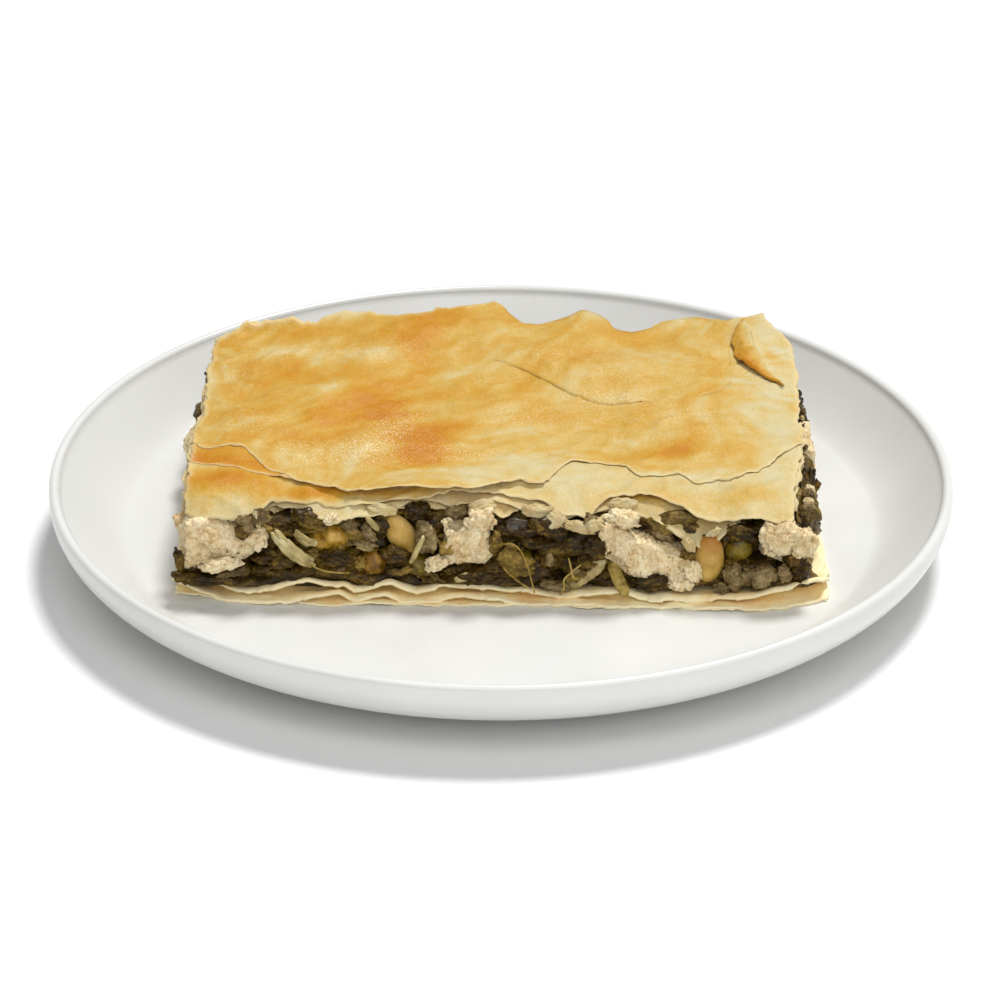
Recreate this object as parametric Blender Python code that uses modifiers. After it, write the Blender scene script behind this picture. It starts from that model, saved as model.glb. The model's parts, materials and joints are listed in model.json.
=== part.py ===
"""A rectangular slice of spanakopita served on a shallow white plate.

Metres, +Z up. The origin is where the plate's axis meets the table. The long
cut side that faces the diner looks along -Y, and X runs along that side.

From the table up: a turned plate on a foot ring, the bottom crust of stacked
filo, the spinach filling that runs through the slice, and the domed top crust.
Tofu, chickpeas, pine nuts and onion sit in pockets of the four cut sides.
"""
import math

import bmesh
import bpy
from mathutils import Euler, Vector, noise

MM = 0.001

# Driving dimensions of the plate
PLATE_DIAMETER = 220 * MM
PLATE_HEIGHT = 20 * MM
FLOOR_HEIGHT = 6.5 * MM        # the face that carries the slice
FLOOR_RADIUS = 91 * MM         # where the floor starts to curve up
WALL_CURVE = 1.5               # above 1, the wall starts level and steepens
UNDERSIDE_HEIGHT = 2.3 * MM
FOOT_RADIUS = 70 * MM          # middle of the foot ring
FOOT_WIDTH = 5 * MM
LIP_WIDTH = 2.6 * MM
OUTER_RUN = 30 * MM            # how far the outside curves in, from rim to underside
PLATE_STEPS = 48
WALL_STEPS = 6

# Driving dimensions of the slice
SLICE_LENGTH = 150 * MM        # along X, at half height
SLICE_DEPTH = 94 * MM          # along Y, at half height
SLICE_MIDDLE_Y = 5.5 * MM      # it sits a little behind the plate's middle
SIDE_SLOPE = 2.5 * MM          # how far each cut side leans in, from middle to top
TOP_HEIGHT = 31.4 * MM         # upper face along the front edge
DOME_HEIGHT = 4.8 * MM         # how much higher it is towards the back
TOP_CRUST = 3.6 * MM           # thickness of the stacked filo
BOTTOM_CRUST = 3.0 * MM
PUCKER = 0.7 * MM              # the top crust's long low waves
RIGHT_SAG = 2.2 * MM           # how far its right edge droops
RUFFLE = 1.5 * MM              # how far the bottom crust's rim lifts off the plate
LAYER_GAP = 0.9 * MM           # between wavy layers, which are faceted apart
POCKET_GAP = 0.6 * MM          # round a piece that sits in the filling
PLATE_GAP = 0.5 * MM           # under the bottom crust

HALF_LENGTH = SLICE_LENGTH / 2
HALF_DEPTH = SLICE_DEPTH / 2
WALL_RUN = PLATE_DIAMETER / 2 - LIP_WIDTH - FLOOR_RADIUS
WALL_RISE = PLATE_HEIGHT - LIP_WIDTH / 2 - FLOOR_HEIGHT


# ---------------------------------------------------------------- helpers

def empty_the_scene():
    for obj in list(bpy.data.objects):
        bpy.data.objects.remove(obj, do_unlink=True)


def new_collection(name):
    collection = bpy.data.collections.new(name)
    bpy.context.scene.collection.children.link(collection)
    return collection


def new_material(name, color, roughness, metallic=0.0):
    material = bpy.data.materials.new(name)
    material.use_nodes = True
    shader = material.node_tree.nodes["Principled BSDF"]
    shader.inputs["Base Color"].default_value = (*color, 1.0)
    shader.inputs["Roughness"].default_value = roughness
    shader.inputs["Metallic"].default_value = metallic
    return material


def object_from_bmesh(name, bm, collection, material=None):
    mesh = bpy.data.meshes.new(name)
    bm.to_mesh(mesh)
    bm.free()
    obj = bpy.data.objects.new(name, mesh)
    collection.objects.link(obj)
    if material:
        mesh.materials.append(material)
    return obj


def smooth_ramp(value, start, end):
    """0 before start, 1 after end, and an S curve between them."""
    share = min(1.0, max(0.0, (value - start) / (end - start)))
    return share * share * (3 - 2 * share)


def bump(distance, width):
    return math.exp(-(distance / width) ** 2)


def lump_shift(point, seed):
    """A smooth shift for each place in space, the same on every run."""
    place = point + Vector((seed, seed * 0.7, 3))
    return Vector([noise.noise(place + Vector((0, 0, 20 * axis))) for axis in range(3)])


# ------------------------------------------------------- shape of the layers

# Ridges and a hollow across the top crust, in mm: start, end, half width and rise.
CREASES = [((-62, -14), (-22, 38), 7, 1.0), ((-6, 36), (54, 16), 9, 1.1), ((-4, 26), (26, 6), 5, -1.2)]
# Where a cut edge of the top crust arches or sags, in mm: middle x, half width and rise.
FRONT_EDGE = [(-12, 30, 4.0), (20, 16, -2.2), (46, 12, -2.6), (62, 8, 1.4), (-58, 12, 1.2)]
BACK_EDGE = [(-12, 28, 4.2), (7, 7, -3.2), (24, 6, 1.8), (36, 8, -2.2), (64, 12, 2.8)]


def rise_along(edge, x):
    return sum(rise * MM * bump(x - middle * MM, width * MM) for middle, width, rise in edge)


def crease(x, y, start, end, width):
    """1 along the line from start to end, fading to 0 beside it."""
    line = (Vector(end) - Vector(start)) * MM
    point = Vector((x, y)) - Vector(start) * MM
    along = min(1.0, max(0.0, point.dot(line) / line.length_squared))
    return bump((point - line * along).length, width * MM)


def top_surface(x, y):
    """Height of the top crust's upper face: domed, puckered and creased."""
    u, v = x / HALF_LENGTH, (y - SLICE_MIDDLE_Y) / HALF_DEPTH
    height = TOP_HEIGHT + DOME_HEIGHT * smooth_ramp(v, -1.1, 0.9) * (1 - 0.5 * u * u)
    height += PUCKER * math.sin(u * 7.3 + v * 2.1) * math.sin(v * 4.4 - u * 1.7)
    height += sum(rise * MM * crease(x, y, start, end, width) for start, end, width, rise in CREASES)
    height += bump(v + 1, 0.3) * rise_along(FRONT_EDGE, x)
    height += smooth_ramp(v, 0.5, 1.0) * rise_along(BACK_EDGE, x)
    height -= RIGHT_SAG * bump(u - 1, 0.10) * (0.5 + 0.5 * math.sin(v * 5 + 1))
    return height


def well_height(radius):
    """Height of the plate's upper face: level, then curving up to the lip."""
    return FLOOR_HEIGHT + WALL_RISE * (max(0, radius - FLOOR_RADIUS) / WALL_RUN) ** WALL_CURVE


def bottom_underside(x, y):
    """Height of the bottom crust's lower face: on the plate, with a ruffled rim."""
    u, v = x / HALF_LENGTH, (y - SLICE_MIDDLE_Y) / HALF_DEPTH
    rim = max(bump(1 - abs(u), 0.07), bump(1 - abs(v), 0.10))
    ruffle = 0.5 + 0.5 * math.sin(x / (3.4 * MM) + 1.5 * math.sin(x / (9 * MM)) + y / (5 * MM))
    return well_height(math.hypot(x, y)) + PLATE_GAP + RUFFLE * rim * ruffle


def outline_wave(along, size, phase):
    """How far a cut edge strays from straight, where along runs in metres."""
    slow = math.sin(along / (17 * MM) + phase)
    quick = math.sin(along / (6.1 * MM) + 2.3 * phase)
    return size * (0.7 * slow + 0.3 * quick)


def top_outline(u, v):
    """The top crust's (x, y) for the grid's (u, v), each from -1 to 1."""
    x = u * (HALF_LENGTH - SIDE_SLOPE)
    y = v * (HALF_DEPTH - 1 * MM)
    x += u ** 4 * math.copysign(1, u) * outline_wave(y, 0.9 * MM, 0.4 + u)
    edge = v ** 4 * math.copysign(1, v)
    y += edge * outline_wave(x, (1.2 if v < 0 else 1.7) * MM, 1.0 + v)
    return x, y + SLICE_MIDDLE_Y


def bottom_outline(u, v):
    """The bottom crust's (x, y): wider than the top, and longest at the front right."""
    x = u * (HALF_LENGTH + SIDE_SLOPE)
    y = v * (HALF_DEPTH + 1 * MM)
    front = smooth_ramp(-v, 0.6, 1.0)
    y -= front * (2.0 * MM + 3.4 * MM * smooth_ramp(u, -0.5, 0.7) - 3.5 * MM * u ** 8)
    x += u ** 4 * math.copysign(1, u) * outline_wave(y, 0.6 * MM, 2 + u)
    y += v ** 4 * math.copysign(1, v) * outline_wave(x, 0.9 * MM, 0.3 + v)
    return x, y + SLICE_MIDDLE_Y


def sheet_stack(name, columns, rows, outline, height, thickness, collection, material):
    """A stack of filo: a grid laid on a height function and given its thickness."""
    bm = bmesh.new()
    bmesh.ops.create_grid(bm, x_segments=columns, y_segments=rows, size=1)
    for vertex in bm.verts:
        x, y = outline(vertex.co.x, vertex.co.y)
        vertex.co = (x, y, height(x, y))
    stack = object_from_bmesh(name, bm, collection, material)
    solidify = stack.modifiers.new("thickness", "SOLIDIFY")
    solidify.thickness = thickness
    solidify.offset = -1
    return stack


# ---------------------------------------------------------------- the plate

def plate_profile():
    """(radius, height) from the middle of the floor, over the lip, to the underside."""
    rim = PLATE_DIAMETER / 2
    points = [(0, FLOOR_HEIGHT)]
    for step in range(WALL_STEPS + 1):
        radius = FLOOR_RADIUS + WALL_RUN * step / WALL_STEPS
        points.append((radius, well_height(radius)))
    lip_middle = rim - LIP_WIDTH / 2
    for step in range(1, 4):
        turn = math.radians(180 - 45 * step)
        points.append((lip_middle + LIP_WIDTH / 2 * math.cos(turn),
                       PLATE_HEIGHT - LIP_WIDTH / 2 * (1 - math.sin(turn))))
    outer_rise = PLATE_HEIGHT - LIP_WIDTH - UNDERSIDE_HEIGHT
    for step in range(0, 6):
        turn = math.radians(18 * step)
        points.append((rim - OUTER_RUN * (1 - math.cos(turn)),
                       UNDERSIDE_HEIGHT + outer_rise * (1 - math.sin(turn))))
    foot_outer, foot_inner = FOOT_RADIUS + FOOT_WIDTH / 2, FOOT_RADIUS - FOOT_WIDTH / 2
    points += [(foot_outer + 1 * MM, UNDERSIDE_HEIGHT), (foot_outer, 0), (foot_inner, 0),
               (foot_inner - 1 * MM, UNDERSIDE_HEIGHT), (0, UNDERSIDE_HEIGHT)]
    return points


def make_plate(collection, material):
    mesh = bpy.data.meshes.new("plate")
    points = [(radius, 0, height) for radius, height in plate_profile()]
    mesh.from_pydata(points, [(i, i + 1) for i in range(len(points) - 1)], [])
    plate = bpy.data.objects.new("plate", mesh)
    collection.objects.link(plate)
    mesh.materials.append(material)
    turn = plate.modifiers.new("turned", "SCREW")
    turn.steps = turn.render_steps = PLATE_STEPS
    turn.use_merge_vertices = True
    turn.merge_threshold = 0.00001
    turn.use_smooth_shade = True
    return plate


# -------------------------------------------------------------- the filling

FILLING_COLUMNS, FILLING_ROWS, FILLING_STOREYS = 15, 9, 3


def filling_point(u, v, w):
    """Where the filling's (u, v, w) goes, each from -1 to 1: lumpy sides that lean in."""
    lean = SIDE_SLOPE * w
    ragged = noise.noise(Vector((u * 9, v * 6, w * 1.3)))
    x = u * (HALF_LENGTH - 1.2 * MM - lean) + u ** 6 * math.copysign(1, u) * ragged * 1.8 * MM
    y = v * (HALF_DEPTH - 2.2 * MM - lean) + v ** 6 * math.copysign(1, v) * ragged * 1.8 * MM
    y += SLICE_MIDDLE_Y
    low = bottom_underside(x, y) + BOTTOM_CRUST + LAYER_GAP
    high = top_surface(x, y) - TOP_CRUST - LAYER_GAP
    return x, y, low + (high - low) * (w + 1) / 2


def make_filling(collection, material):
    bm = bmesh.new()
    bmesh.ops.create_cube(bm, size=2)
    for axis, cells in enumerate((FILLING_COLUMNS, FILLING_ROWS, FILLING_STOREYS)):
        along = [e for e in bm.edges
                 if abs((e.verts[0].co - e.verts[1].co)[axis]) > 1.9]
        bmesh.ops.subdivide_edges(bm, edges=along, cuts=cells - 1, use_grid_fill=True)
    for vertex in bm.verts:
        vertex.co = filling_point(*vertex.co)
    return object_from_bmesh("spinach_filling", bm, collection, material)


# --------------------------------------------- pieces set in the cut sides

def rough_lump(size, seed, roughness, grain):
    """A broken block: a cube cut finer, rounded a little and pushed about by noise."""
    bm = bmesh.new()
    bmesh.ops.create_cube(bm, size=2)
    bmesh.ops.subdivide_edges(bm, edges=bm.edges[:], cuts=2, use_grid_fill=True)
    for vertex in bm.verts:
        rounded = vertex.co.lerp(vertex.co.normalized() * 1.25, 0.45)
        rounded += lump_shift(rounded * grain, seed) * roughness
        vertex.co = Vector((rounded.x * size[0], rounded.y * size[1], rounded.z * size[2])) / 2
    return bm


def chickpea(size, seed):
    """A cooked chickpea: a ball with a shallow seam down one side and a small beak."""
    bm = bmesh.new()
    bmesh.ops.create_uvsphere(bm, u_segments=8, v_segments=6, radius=1)
    for vertex in bm.verts:
        point = vertex.co.copy()
        seam = bump(point.y, 0.3) * smooth_ramp(point.x, 0.2, 0.9)
        point *= 1 - 0.10 * seam
        point.x += 0.14 * smooth_ramp(point.x, 0.6, 1.0) * smooth_ramp(point.z, 0.0, 0.6)
        point += 0.08 * lump_shift(point * 1.6, seed)
        vertex.co = Vector((point.x * size[0], point.y * size[1], point.z * size[2])) / 2
    return bm


def pine_nut(size, seed):
    """A kernel shaped like a drop: round at its foot and tapering to a blunt tip."""
    bm = bmesh.new()
    bmesh.ops.create_uvsphere(bm, u_segments=8, v_segments=6, radius=1)
    for vertex in bm.verts:
        point = vertex.co.copy()
        taper = 1 - 0.34 * smooth_ramp(point.z, -0.4, 1.0)
        flat = 1 - 0.08 * bump(point.y - 1, 0.5)
        point.x *= taper * (1 + 0.02 * math.sin(seed))
        point.y *= taper * flat
        vertex.co = Vector((point.x * size[0], point.y * size[1], point.z * size[2])) / 2
    return bm


def onion_sliver(size, seed):
    """A shred of cooked onion: a thin blade, pointed at both ends and curved."""
    bm = bmesh.new()
    bmesh.ops.create_cube(bm, size=2)
    lengthwise = [e for e in bm.edges if abs((e.verts[0].co - e.verts[1].co).x) > 1.9]
    bmesh.ops.subdivide_edges(bm, edges=lengthwise, cuts=4, use_grid_fill=True)
    for vertex in bm.verts:
        x, y, z = vertex.co
        width = 0.25 + 0.75 * math.sqrt(max(0.0, 1 - abs(x) ** 2.6))
        bend = 0.35 * (1 - x * x) * math.cos(seed)
        vertex.co = (x * size[0] / 2, (y * (0.6 + 0.4 * width) + bend) * size[1] / 2,
                     z * width * size[2] / 2)
    return bm


FRONT = SLICE_MIDDLE_Y - HALF_DEPTH
BACK = SLICE_MIDDLE_Y + HALF_DEPTH
LEFT, RIGHT = -HALF_LENGTH, HALF_LENGTH

# name: maker, middle (x, y, z), size (x, y, z), turn in degrees (x, y, z), seed.
# Every piece is set as deep as it is seen, and stands about 1 mm proud.
TOFU = {
    "tofu_front_left": ((-66.0, -34.6, 19.4), (20.0, 13.0, 12.6), (0, 10, 0), 1),
    "tofu_front_middle": ((-8.3, -38.4, 20.6), (12.0, 8.0, 9.8), (0, -8, 0), 2),
    "tofu_front_right": ((32.8, -38.6, 18.4), (22.0, 10.5, 8.4), (0, 22, 0), 3),
    "tofu_right_corner": ((67.4, -35.4, 19.7), (11.5, 9.0, 7.4), (0, 12, 12), 4),
    "tofu_right": ((72.5, 14, 18.5), (8.0, 15.0, 9.0), (6, 0, 4), 5),
    "tofu_left": ((-72.5, 16, 17.5), (8.0, 17.0, 9.5), (-5, 0, 0), 6),
    "tofu_back_left": ((-36, 49.0, 20), (20.0, 9.0, 10.0), (0, -10, 0), 7),
    "tofu_back_right": ((38, 48.8, 19), (15.0, 9.0, 9.5), (0, 9, 0), 8),
}
CHICKPEAS = {
    "chickpea_front_1": ((-41.0, -37.0, 20.6), (9.6, 8.8, 7.8), (0, 20, 200), 11),
    "chickpea_front_2": ((-30.8, -38.6, 15.4), (7.2, 7.6, 7.4), (0, 0, 250), 12),
    "chickpea_front_3": ((3.8, -38.4, 17.6), (8.4, 7.6, 6.6), (0, -20, 290), 13),
    "chickpea_front_4": ((-20.0, -39.0, 15.0), (7.8, 7.6, 6.0), (0, 0, 270), 14),
    "chickpea_front_5": ((56.1, -37.8, 17.8), (6.4, 7.4, 6.8), (0, 10, 260), 15),
    "chickpea_right": ((72.2, -15, 18.5), (7.4, 8.4, 7.8), (0, 0, 0), 16),
    "chickpea_left": ((-72.8, -10, 18), (7.4, 8.2, 7.8), (0, 0, 180), 17),
    "chickpea_back": ((2, 49.4, 18), (8.6, 7.4, 8.2), (0, 0, 90), 18),
}
PINE_NUTS = {
    "pine_nut_front_1": ((-24.0, -37.6, 22.4), (6.4, 6.0, 10.6), (0, -28, 0), 21),
    "pine_nut_front_2": ((49.3, -39.8, 17.2), (7.0, 6.2, 11.4), (0, 4, 0), 22),
    "pine_nut_right": ((73.2, -4.0, 17), (5.4, 6.0, 10.4), (50, 0, 0), 23),
    "pine_nut_back": ((18.5, 49.8, 20), (6.2, 5.6, 10.8), (0, 62, 0), 24),
}
ONION = {
    "onion_front_1": ((-49.0, -39.6, 18.0), (9.6, 2.2, 3.2), (0, 48, 0), 31),
    "onion_front_2": ((16.6, -40.6, 14.4), (10.4, 2.4, 3.6), (0, -38, 0), 32),
    "onion_back": ((-16, 50.8, 16.5), (12.0, 2.4, 3.6), (0, 24, 0), 33),
    "onion_left": ((-74.6, 2, 16), (10.5, 2.2, 3.4), (0, 20, 96), 34),
}


def make_pieces(pieces, maker, collection, material):
    """One object for each entry, with its turn and place applied to its mesh."""
    made = []
    for name, (middle, size, turn, seed) in pieces.items():
        bm = maker([side * MM for side in size], seed)
        rotation = Euler([math.radians(angle) for angle in turn]).to_matrix().to_4x4()
        bmesh.ops.transform(bm, matrix=rotation, verts=bm.verts)
        bmesh.ops.translate(bm, vec=Vector(middle) * MM, verts=bm.verts)
        bmesh.ops.recalc_face_normals(bm, faces=bm.faces)
        made.append(object_from_bmesh(name, bm, collection, material))
    return made


def cut_pocket(body, piece, collection):
    """Cuts a smooth hollow out of body: the hull of piece with a gap all round."""
    bm = bmesh.new()
    for vertex in piece.data.vertices:
        bm.verts.new(vertex.co + vertex.normal * POCKET_GAP)
    bmesh.ops.convex_hull(bm, input=bm.verts)
    inside = [vertex for vertex in bm.verts if not vertex.link_faces]
    bmesh.ops.delete(bm, geom=inside, context="VERTS")
    bmesh.ops.recalc_face_normals(bm, faces=bm.faces)
    if bm.calc_volume(signed=True) < 0:
        bmesh.ops.reverse_faces(bm, faces=bm.faces)
    cutter = object_from_bmesh("pocket_for_" + piece.name, bm, collection)
    cutter.hide_render = True
    cutter.display_type = "WIRE"
    cut = body.modifiers.new("for " + piece.name, "BOOLEAN")
    cut.operation = "DIFFERENCE"
    cut.object = cutter
    cut.solver = "EXACT"


def tofu_lump(size, seed):
    return rough_lump(size, seed, roughness=0.35, grain=1.7)


def main():
    empty_the_scene()
    parts = new_collection("spanakopita_slice")
    cutters = new_collection("cutters")
    glaze = new_material("white glaze", (0.80, 0.80, 0.78), 0.32)
    baked_filo = new_material("baked filo", (0.76, 0.50, 0.17), 0.42)
    pale_filo = new_material("pale filo", (0.72, 0.60, 0.36), 0.50)
    spinach = new_material("cooked spinach", (0.045, 0.040, 0.012), 0.40)
    tofu = new_material("tofu", (0.72, 0.58, 0.42), 0.75)
    chickpea_skin = new_material("chickpea", (0.42, 0.25, 0.05), 0.35)
    kernel = new_material("pine nut", (0.66, 0.42, 0.16), 0.40)
    onion = new_material("cooked onion", (0.52, 0.45, 0.16), 0.35)

    make_plate(parts, glaze)
    sheet_stack("bottom_crust", 24, 11, bottom_outline,
                lambda x, y: bottom_underside(x, y) + BOTTOM_CRUST,
                BOTTOM_CRUST, parts, pale_filo)
    sheet_stack("top_crust", 25, 14, top_outline, top_surface, TOP_CRUST, parts, baked_filo)
    filling = make_filling(parts, spinach)
    pieces = make_pieces(TOFU, tofu_lump, parts, tofu)
    pieces += make_pieces(CHICKPEAS, chickpea, parts, chickpea_skin)
    pieces += make_pieces(PINE_NUTS, pine_nut, parts, kernel)
    pieces += make_pieces(ONION, onion_sliver, parts, onion)
    for piece in pieces:
        cut_pocket(filling, piece, cutters)


main()
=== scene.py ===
# %% [markdown]
# # A slice of spanakopita on its plate
# A rectangular slice of spinach pie: stacked filo below and above, and a filling of
# cooked spinach with tofu, chickpeas, pine nuts and onion that shows at its four cut
# sides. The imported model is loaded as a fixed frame. It says where every piece is,
# and this lesson dresses each one with its real surface.

# %% Load the frame
import itertools
import json
import math

import bmesh
import bpy
import numpy as np
from mathutils import Euler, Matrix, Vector
from mathutils.bvhtree import BVHTree

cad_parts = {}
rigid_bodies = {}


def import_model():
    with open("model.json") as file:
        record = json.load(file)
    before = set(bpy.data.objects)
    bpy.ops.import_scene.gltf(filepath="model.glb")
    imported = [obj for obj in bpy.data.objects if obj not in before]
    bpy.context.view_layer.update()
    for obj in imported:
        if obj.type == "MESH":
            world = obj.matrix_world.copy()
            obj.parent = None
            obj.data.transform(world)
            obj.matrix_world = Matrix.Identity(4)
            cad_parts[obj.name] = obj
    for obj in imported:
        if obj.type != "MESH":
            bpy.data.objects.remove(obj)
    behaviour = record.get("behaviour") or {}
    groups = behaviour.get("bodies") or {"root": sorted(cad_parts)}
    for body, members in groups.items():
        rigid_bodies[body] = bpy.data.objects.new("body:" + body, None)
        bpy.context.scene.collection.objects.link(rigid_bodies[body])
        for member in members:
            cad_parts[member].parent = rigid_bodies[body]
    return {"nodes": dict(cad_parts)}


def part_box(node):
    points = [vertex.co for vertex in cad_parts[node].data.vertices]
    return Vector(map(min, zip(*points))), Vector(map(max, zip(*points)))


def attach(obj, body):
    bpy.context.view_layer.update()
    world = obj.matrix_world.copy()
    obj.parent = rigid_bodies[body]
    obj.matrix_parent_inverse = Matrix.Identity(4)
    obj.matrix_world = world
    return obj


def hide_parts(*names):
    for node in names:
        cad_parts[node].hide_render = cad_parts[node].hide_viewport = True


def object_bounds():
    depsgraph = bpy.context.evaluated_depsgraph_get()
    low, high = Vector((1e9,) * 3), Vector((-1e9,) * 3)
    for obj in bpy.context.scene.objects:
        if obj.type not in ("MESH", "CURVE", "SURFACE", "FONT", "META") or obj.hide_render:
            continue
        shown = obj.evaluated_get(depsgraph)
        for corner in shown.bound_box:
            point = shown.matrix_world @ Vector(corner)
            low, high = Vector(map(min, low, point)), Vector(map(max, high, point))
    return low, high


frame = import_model()
cad_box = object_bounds()
MM = 0.001
scene = bpy.context.scene
print("the slice and its plate fill", [round(b - a, 4) for a, b in zip(*cad_box)], "m")


def in_scene(name, data):
    """A new object that holds the data, linked to the scene."""
    piece = bpy.data.objects.new(name, data)
    scene.collection.objects.link(piece)
    return piece

# %% [markdown]
# ## Camera, floor and light
# The plate is seen from in front and a little above, through a long lens from 1.3 m,
# so its far rim is nearly as wide as its near one. The light is a high sun behind and
# slightly to the right, softened as by a diffuser, in an even white room. The white
# floor sends light back up into the cut side, which the sun itself doesn't reach.

# %% Camera
CAMERA_TILT = math.radians(26.8)
CAMERA_DISTANCE = 1.3
AIM = Vector((-0.00024, 0, 0.0119))
LENS = 191.4

camera = in_scene("camera", bpy.data.cameras.new("camera"))
camera.data.lens = LENS
camera.data.clip_start = 0.05
camera_way = Vector((0, -math.cos(CAMERA_TILT), math.sin(CAMERA_TILT)))
camera.location = AIM + CAMERA_DISTANCE * camera_way
camera.rotation_euler = (math.pi / 2 - CAMERA_TILT, 0, 0)
scene.camera = camera

# %% Floor and lights
SUN_FROM = Vector((0.23, 0.415, 1.0))
SUN_STRENGTH = 2.62
SUN_SOFTNESS = math.radians(14)
ROOM_LIGHT = 0.31
PAPER_WHITE = 0.84

scene.view_settings.view_transform = "Standard"
world = bpy.data.worlds.new("white room")
world.use_nodes = True
walls = world.node_tree.nodes["Background"]
walls.inputs["Color"].default_value = (1, 1, 1, 1)
walls.inputs["Strength"].default_value = ROOM_LIGHT
scene.world = world

sun = in_scene("soft sun", bpy.data.lights.new("soft sun", "SUN"))
sun.data.energy = SUN_STRENGTH
sun.data.angle = SUN_SOFTNESS
sun.rotation_euler = SUN_FROM.to_track_quat("Z", "Y").to_euler()


def soft_box(name, place, wide, high, energy):
    """A soft rectangular light that looks at the plate."""
    box = in_scene(name, bpy.data.lights.new(name, "AREA"))
    box.data.shape = "RECTANGLE"
    box.data.size, box.data.size_y = wide, high
    box.data.energy = energy
    box.location = place
    box.rotation_euler = place.to_track_quat("Z", "Y").to_euler()


soft_box("front fill", Vector((0.75, -1.85, 0.99)), 3.0, 1.4, 17)
soft_box("top front light", Vector((0.0, -1.1, 1.9)), 1.4, 0.9, 8)

bpy.ops.mesh.primitive_plane_add(size=8, location=(0, 0, cad_box[0][2]))
floor = bpy.context.object
floor.name = "floor"
paper = bpy.data.materials.new("white paper floor")
paper.use_nodes = True
paper_shader = paper.node_tree.nodes["Principled BSDF"]
for socket, value in (("Base Color", (PAPER_WHITE, PAPER_WHITE, PAPER_WHITE, 1)),
                      ("Roughness", 0.9), ("Specular IOR Level", 0.0)):
    paper_shader.inputs[socket].default_value = value
floor.data.materials.append(paper)

# %% [markdown]
# ## Tools for uneven food
# Nothing on a plate of food is even, so most shapes here start from noise. This is
# gradient noise on a grid of whole numbers, worked out for many places at once. It
# gives the same crumples on every run, because each grid corner's slope comes from
# its own whole numbers and a seed, and from nothing random.

# %% Noise for many places at once
def corner_slope(cell_x, cell_y, cell_z, seed):
    """Three slopes from -1 to 1 for each grid corner, mixed from its whole numbers."""
    mixed = (cell_x * 374761393 + cell_y * 668265263 + cell_z * 1440662683 + seed * 974634777)
    mixed = mixed & 0xFFFFFFFF
    mixed = ((mixed ^ (mixed >> 13)) * 1274126177) & 0xFFFFFFFF
    mixed = mixed ^ (mixed >> 16)
    return [((mixed >> shift) & 1023) / 511.5 - 1 for shift in (0, 10, 20)]


def noise(x, y=0.0, z=0.0, seed=0):
    """Smooth noise, about -1 to 1, with one hill or hollow for each unit of distance."""
    x, y, z = np.broadcast_arrays(*(np.asarray(a, float) for a in (x, y, z)))
    cells = [np.floor(a).astype(np.int64) for a in (x, y, z)]
    inside = [a - c for a, c in zip((x, y, z), cells)]
    eased = [p ** 3 * (p * (p * 6 - 15) + 10) for p in inside]
    total = np.zeros(x.shape)
    for corner in itertools.product((0, 1), repeat=3):
        slopes = corner_slope(*(c + k for c, k in zip(cells, corner)), seed)
        height = sum(s * (p - k) for s, p, k in zip(slopes, inside, corner))
        weight = np.prod([e if k else 1 - e for e, k in zip(eased, corner)], axis=0)
        total += weight * height
    return total * 1.5


def rough(x, y=0.0, z=0.0, seed=0, octaves=4, fade=0.5):
    """Noise on noise: each octave is twice as fine and weaker by fade."""
    return sum(fade ** k * noise(np.asarray(x) * 2 ** k, np.asarray(y) * 2 ** k,
                                 np.asarray(z) * 2 ** k, seed + k) for k in range(octaves))


def hills(x, y, wide, deep, seed, z=0.5):
    """Noise over a sheet, with hills about wide by deep mm."""
    return noise(x / (wide * MM), y / (deep * MM), z, seed)


def waves(along, length, seed):
    """Noise along an edge, with waves about length mm long."""
    return noise(along / (length * MM), 0.5, 0.5, seed)


def ramp(value, start, end):
    """0 before start, 1 after end, and an S curve between them."""
    share = np.clip((value - start) / (end - start), 0, 1)
    return share * share * (3 - 2 * share)


def bump(distance, width):
    """1 at no distance, falling to 0 over a few widths."""
    return np.exp(-(np.asarray(distance) / width) ** 2)


print("noise runs from", noise(np.linspace(0, 60, 4000), 0.3).min().round(2), "to",
      noise(np.linspace(0, 60, 4000), 0.3).max().round(2))

# %% Meshes from arrays
def grid_faces(columns, rows):
    """The four corners of each face of a grid, whose points run along a row first."""
    start = (np.arange(rows - 1)[:, None] * columns + np.arange(columns - 1)).ravel()
    return np.stack([start, start + 1, start + columns + 1, start + columns], axis=1)


def mesh_of(name, points, faces, **marks):
    """A mesh from arrays or lists. Each mark is a value for each point, for its material."""
    mesh = bpy.data.meshes.new(name)
    mesh.from_pydata(np.asarray(points).tolist(), [],
                     faces if isinstance(faces, list) else faces.tolist())
    for mark, values in marks.items():
        layer = mesh.attributes.new(mark, "FLOAT", "POINT")
        layer.data.foreach_set("value", np.asarray(values, np.float32).ravel())
    return mesh


def new_piece(name, points, faces, material, **marks):
    """A smooth mesh object from arrays, with its material and marks."""
    mesh = mesh_of(name, points, faces, **marks)
    mesh.shade_smooth()
    mesh.materials.append(material)
    return in_scene(name, mesh)


def gathered(name, material, parts, **marks):
    """Several (points, faces) as one piece, with one value for each mark."""
    points, faces, count = [], [], 0
    for places, corners in parts:
        points.append(places)
        faces.append(corners + count)
        count += len(places)
    marks = {mark: np.full(count, value) for mark, value in marks.items()}
    return new_piece(name, np.concatenate(points), np.concatenate(faces), material, **marks)


def as_rows(*coordinates):
    """Arrays of x, y and z as one row of three for each point."""
    return np.stack(coordinates, axis=-1).reshape(-1, 3)


def thicken(piece, thickness, offset=-1):
    """Gives a sheet its thickness in mm: below its face, or about its middle at offset 0."""
    thick = piece.modifiers.new("thickness", "SOLIDIFY")
    thick.thickness = thickness * MM
    thick.offset = offset
    return piece


def dress(piece, slot, *nodes):
    """The piece rides on the one body and stands for the CAD nodes. Its slot is not used."""
    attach(piece, "root")
    if nodes:
        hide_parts(*nodes)
    return piece

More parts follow.
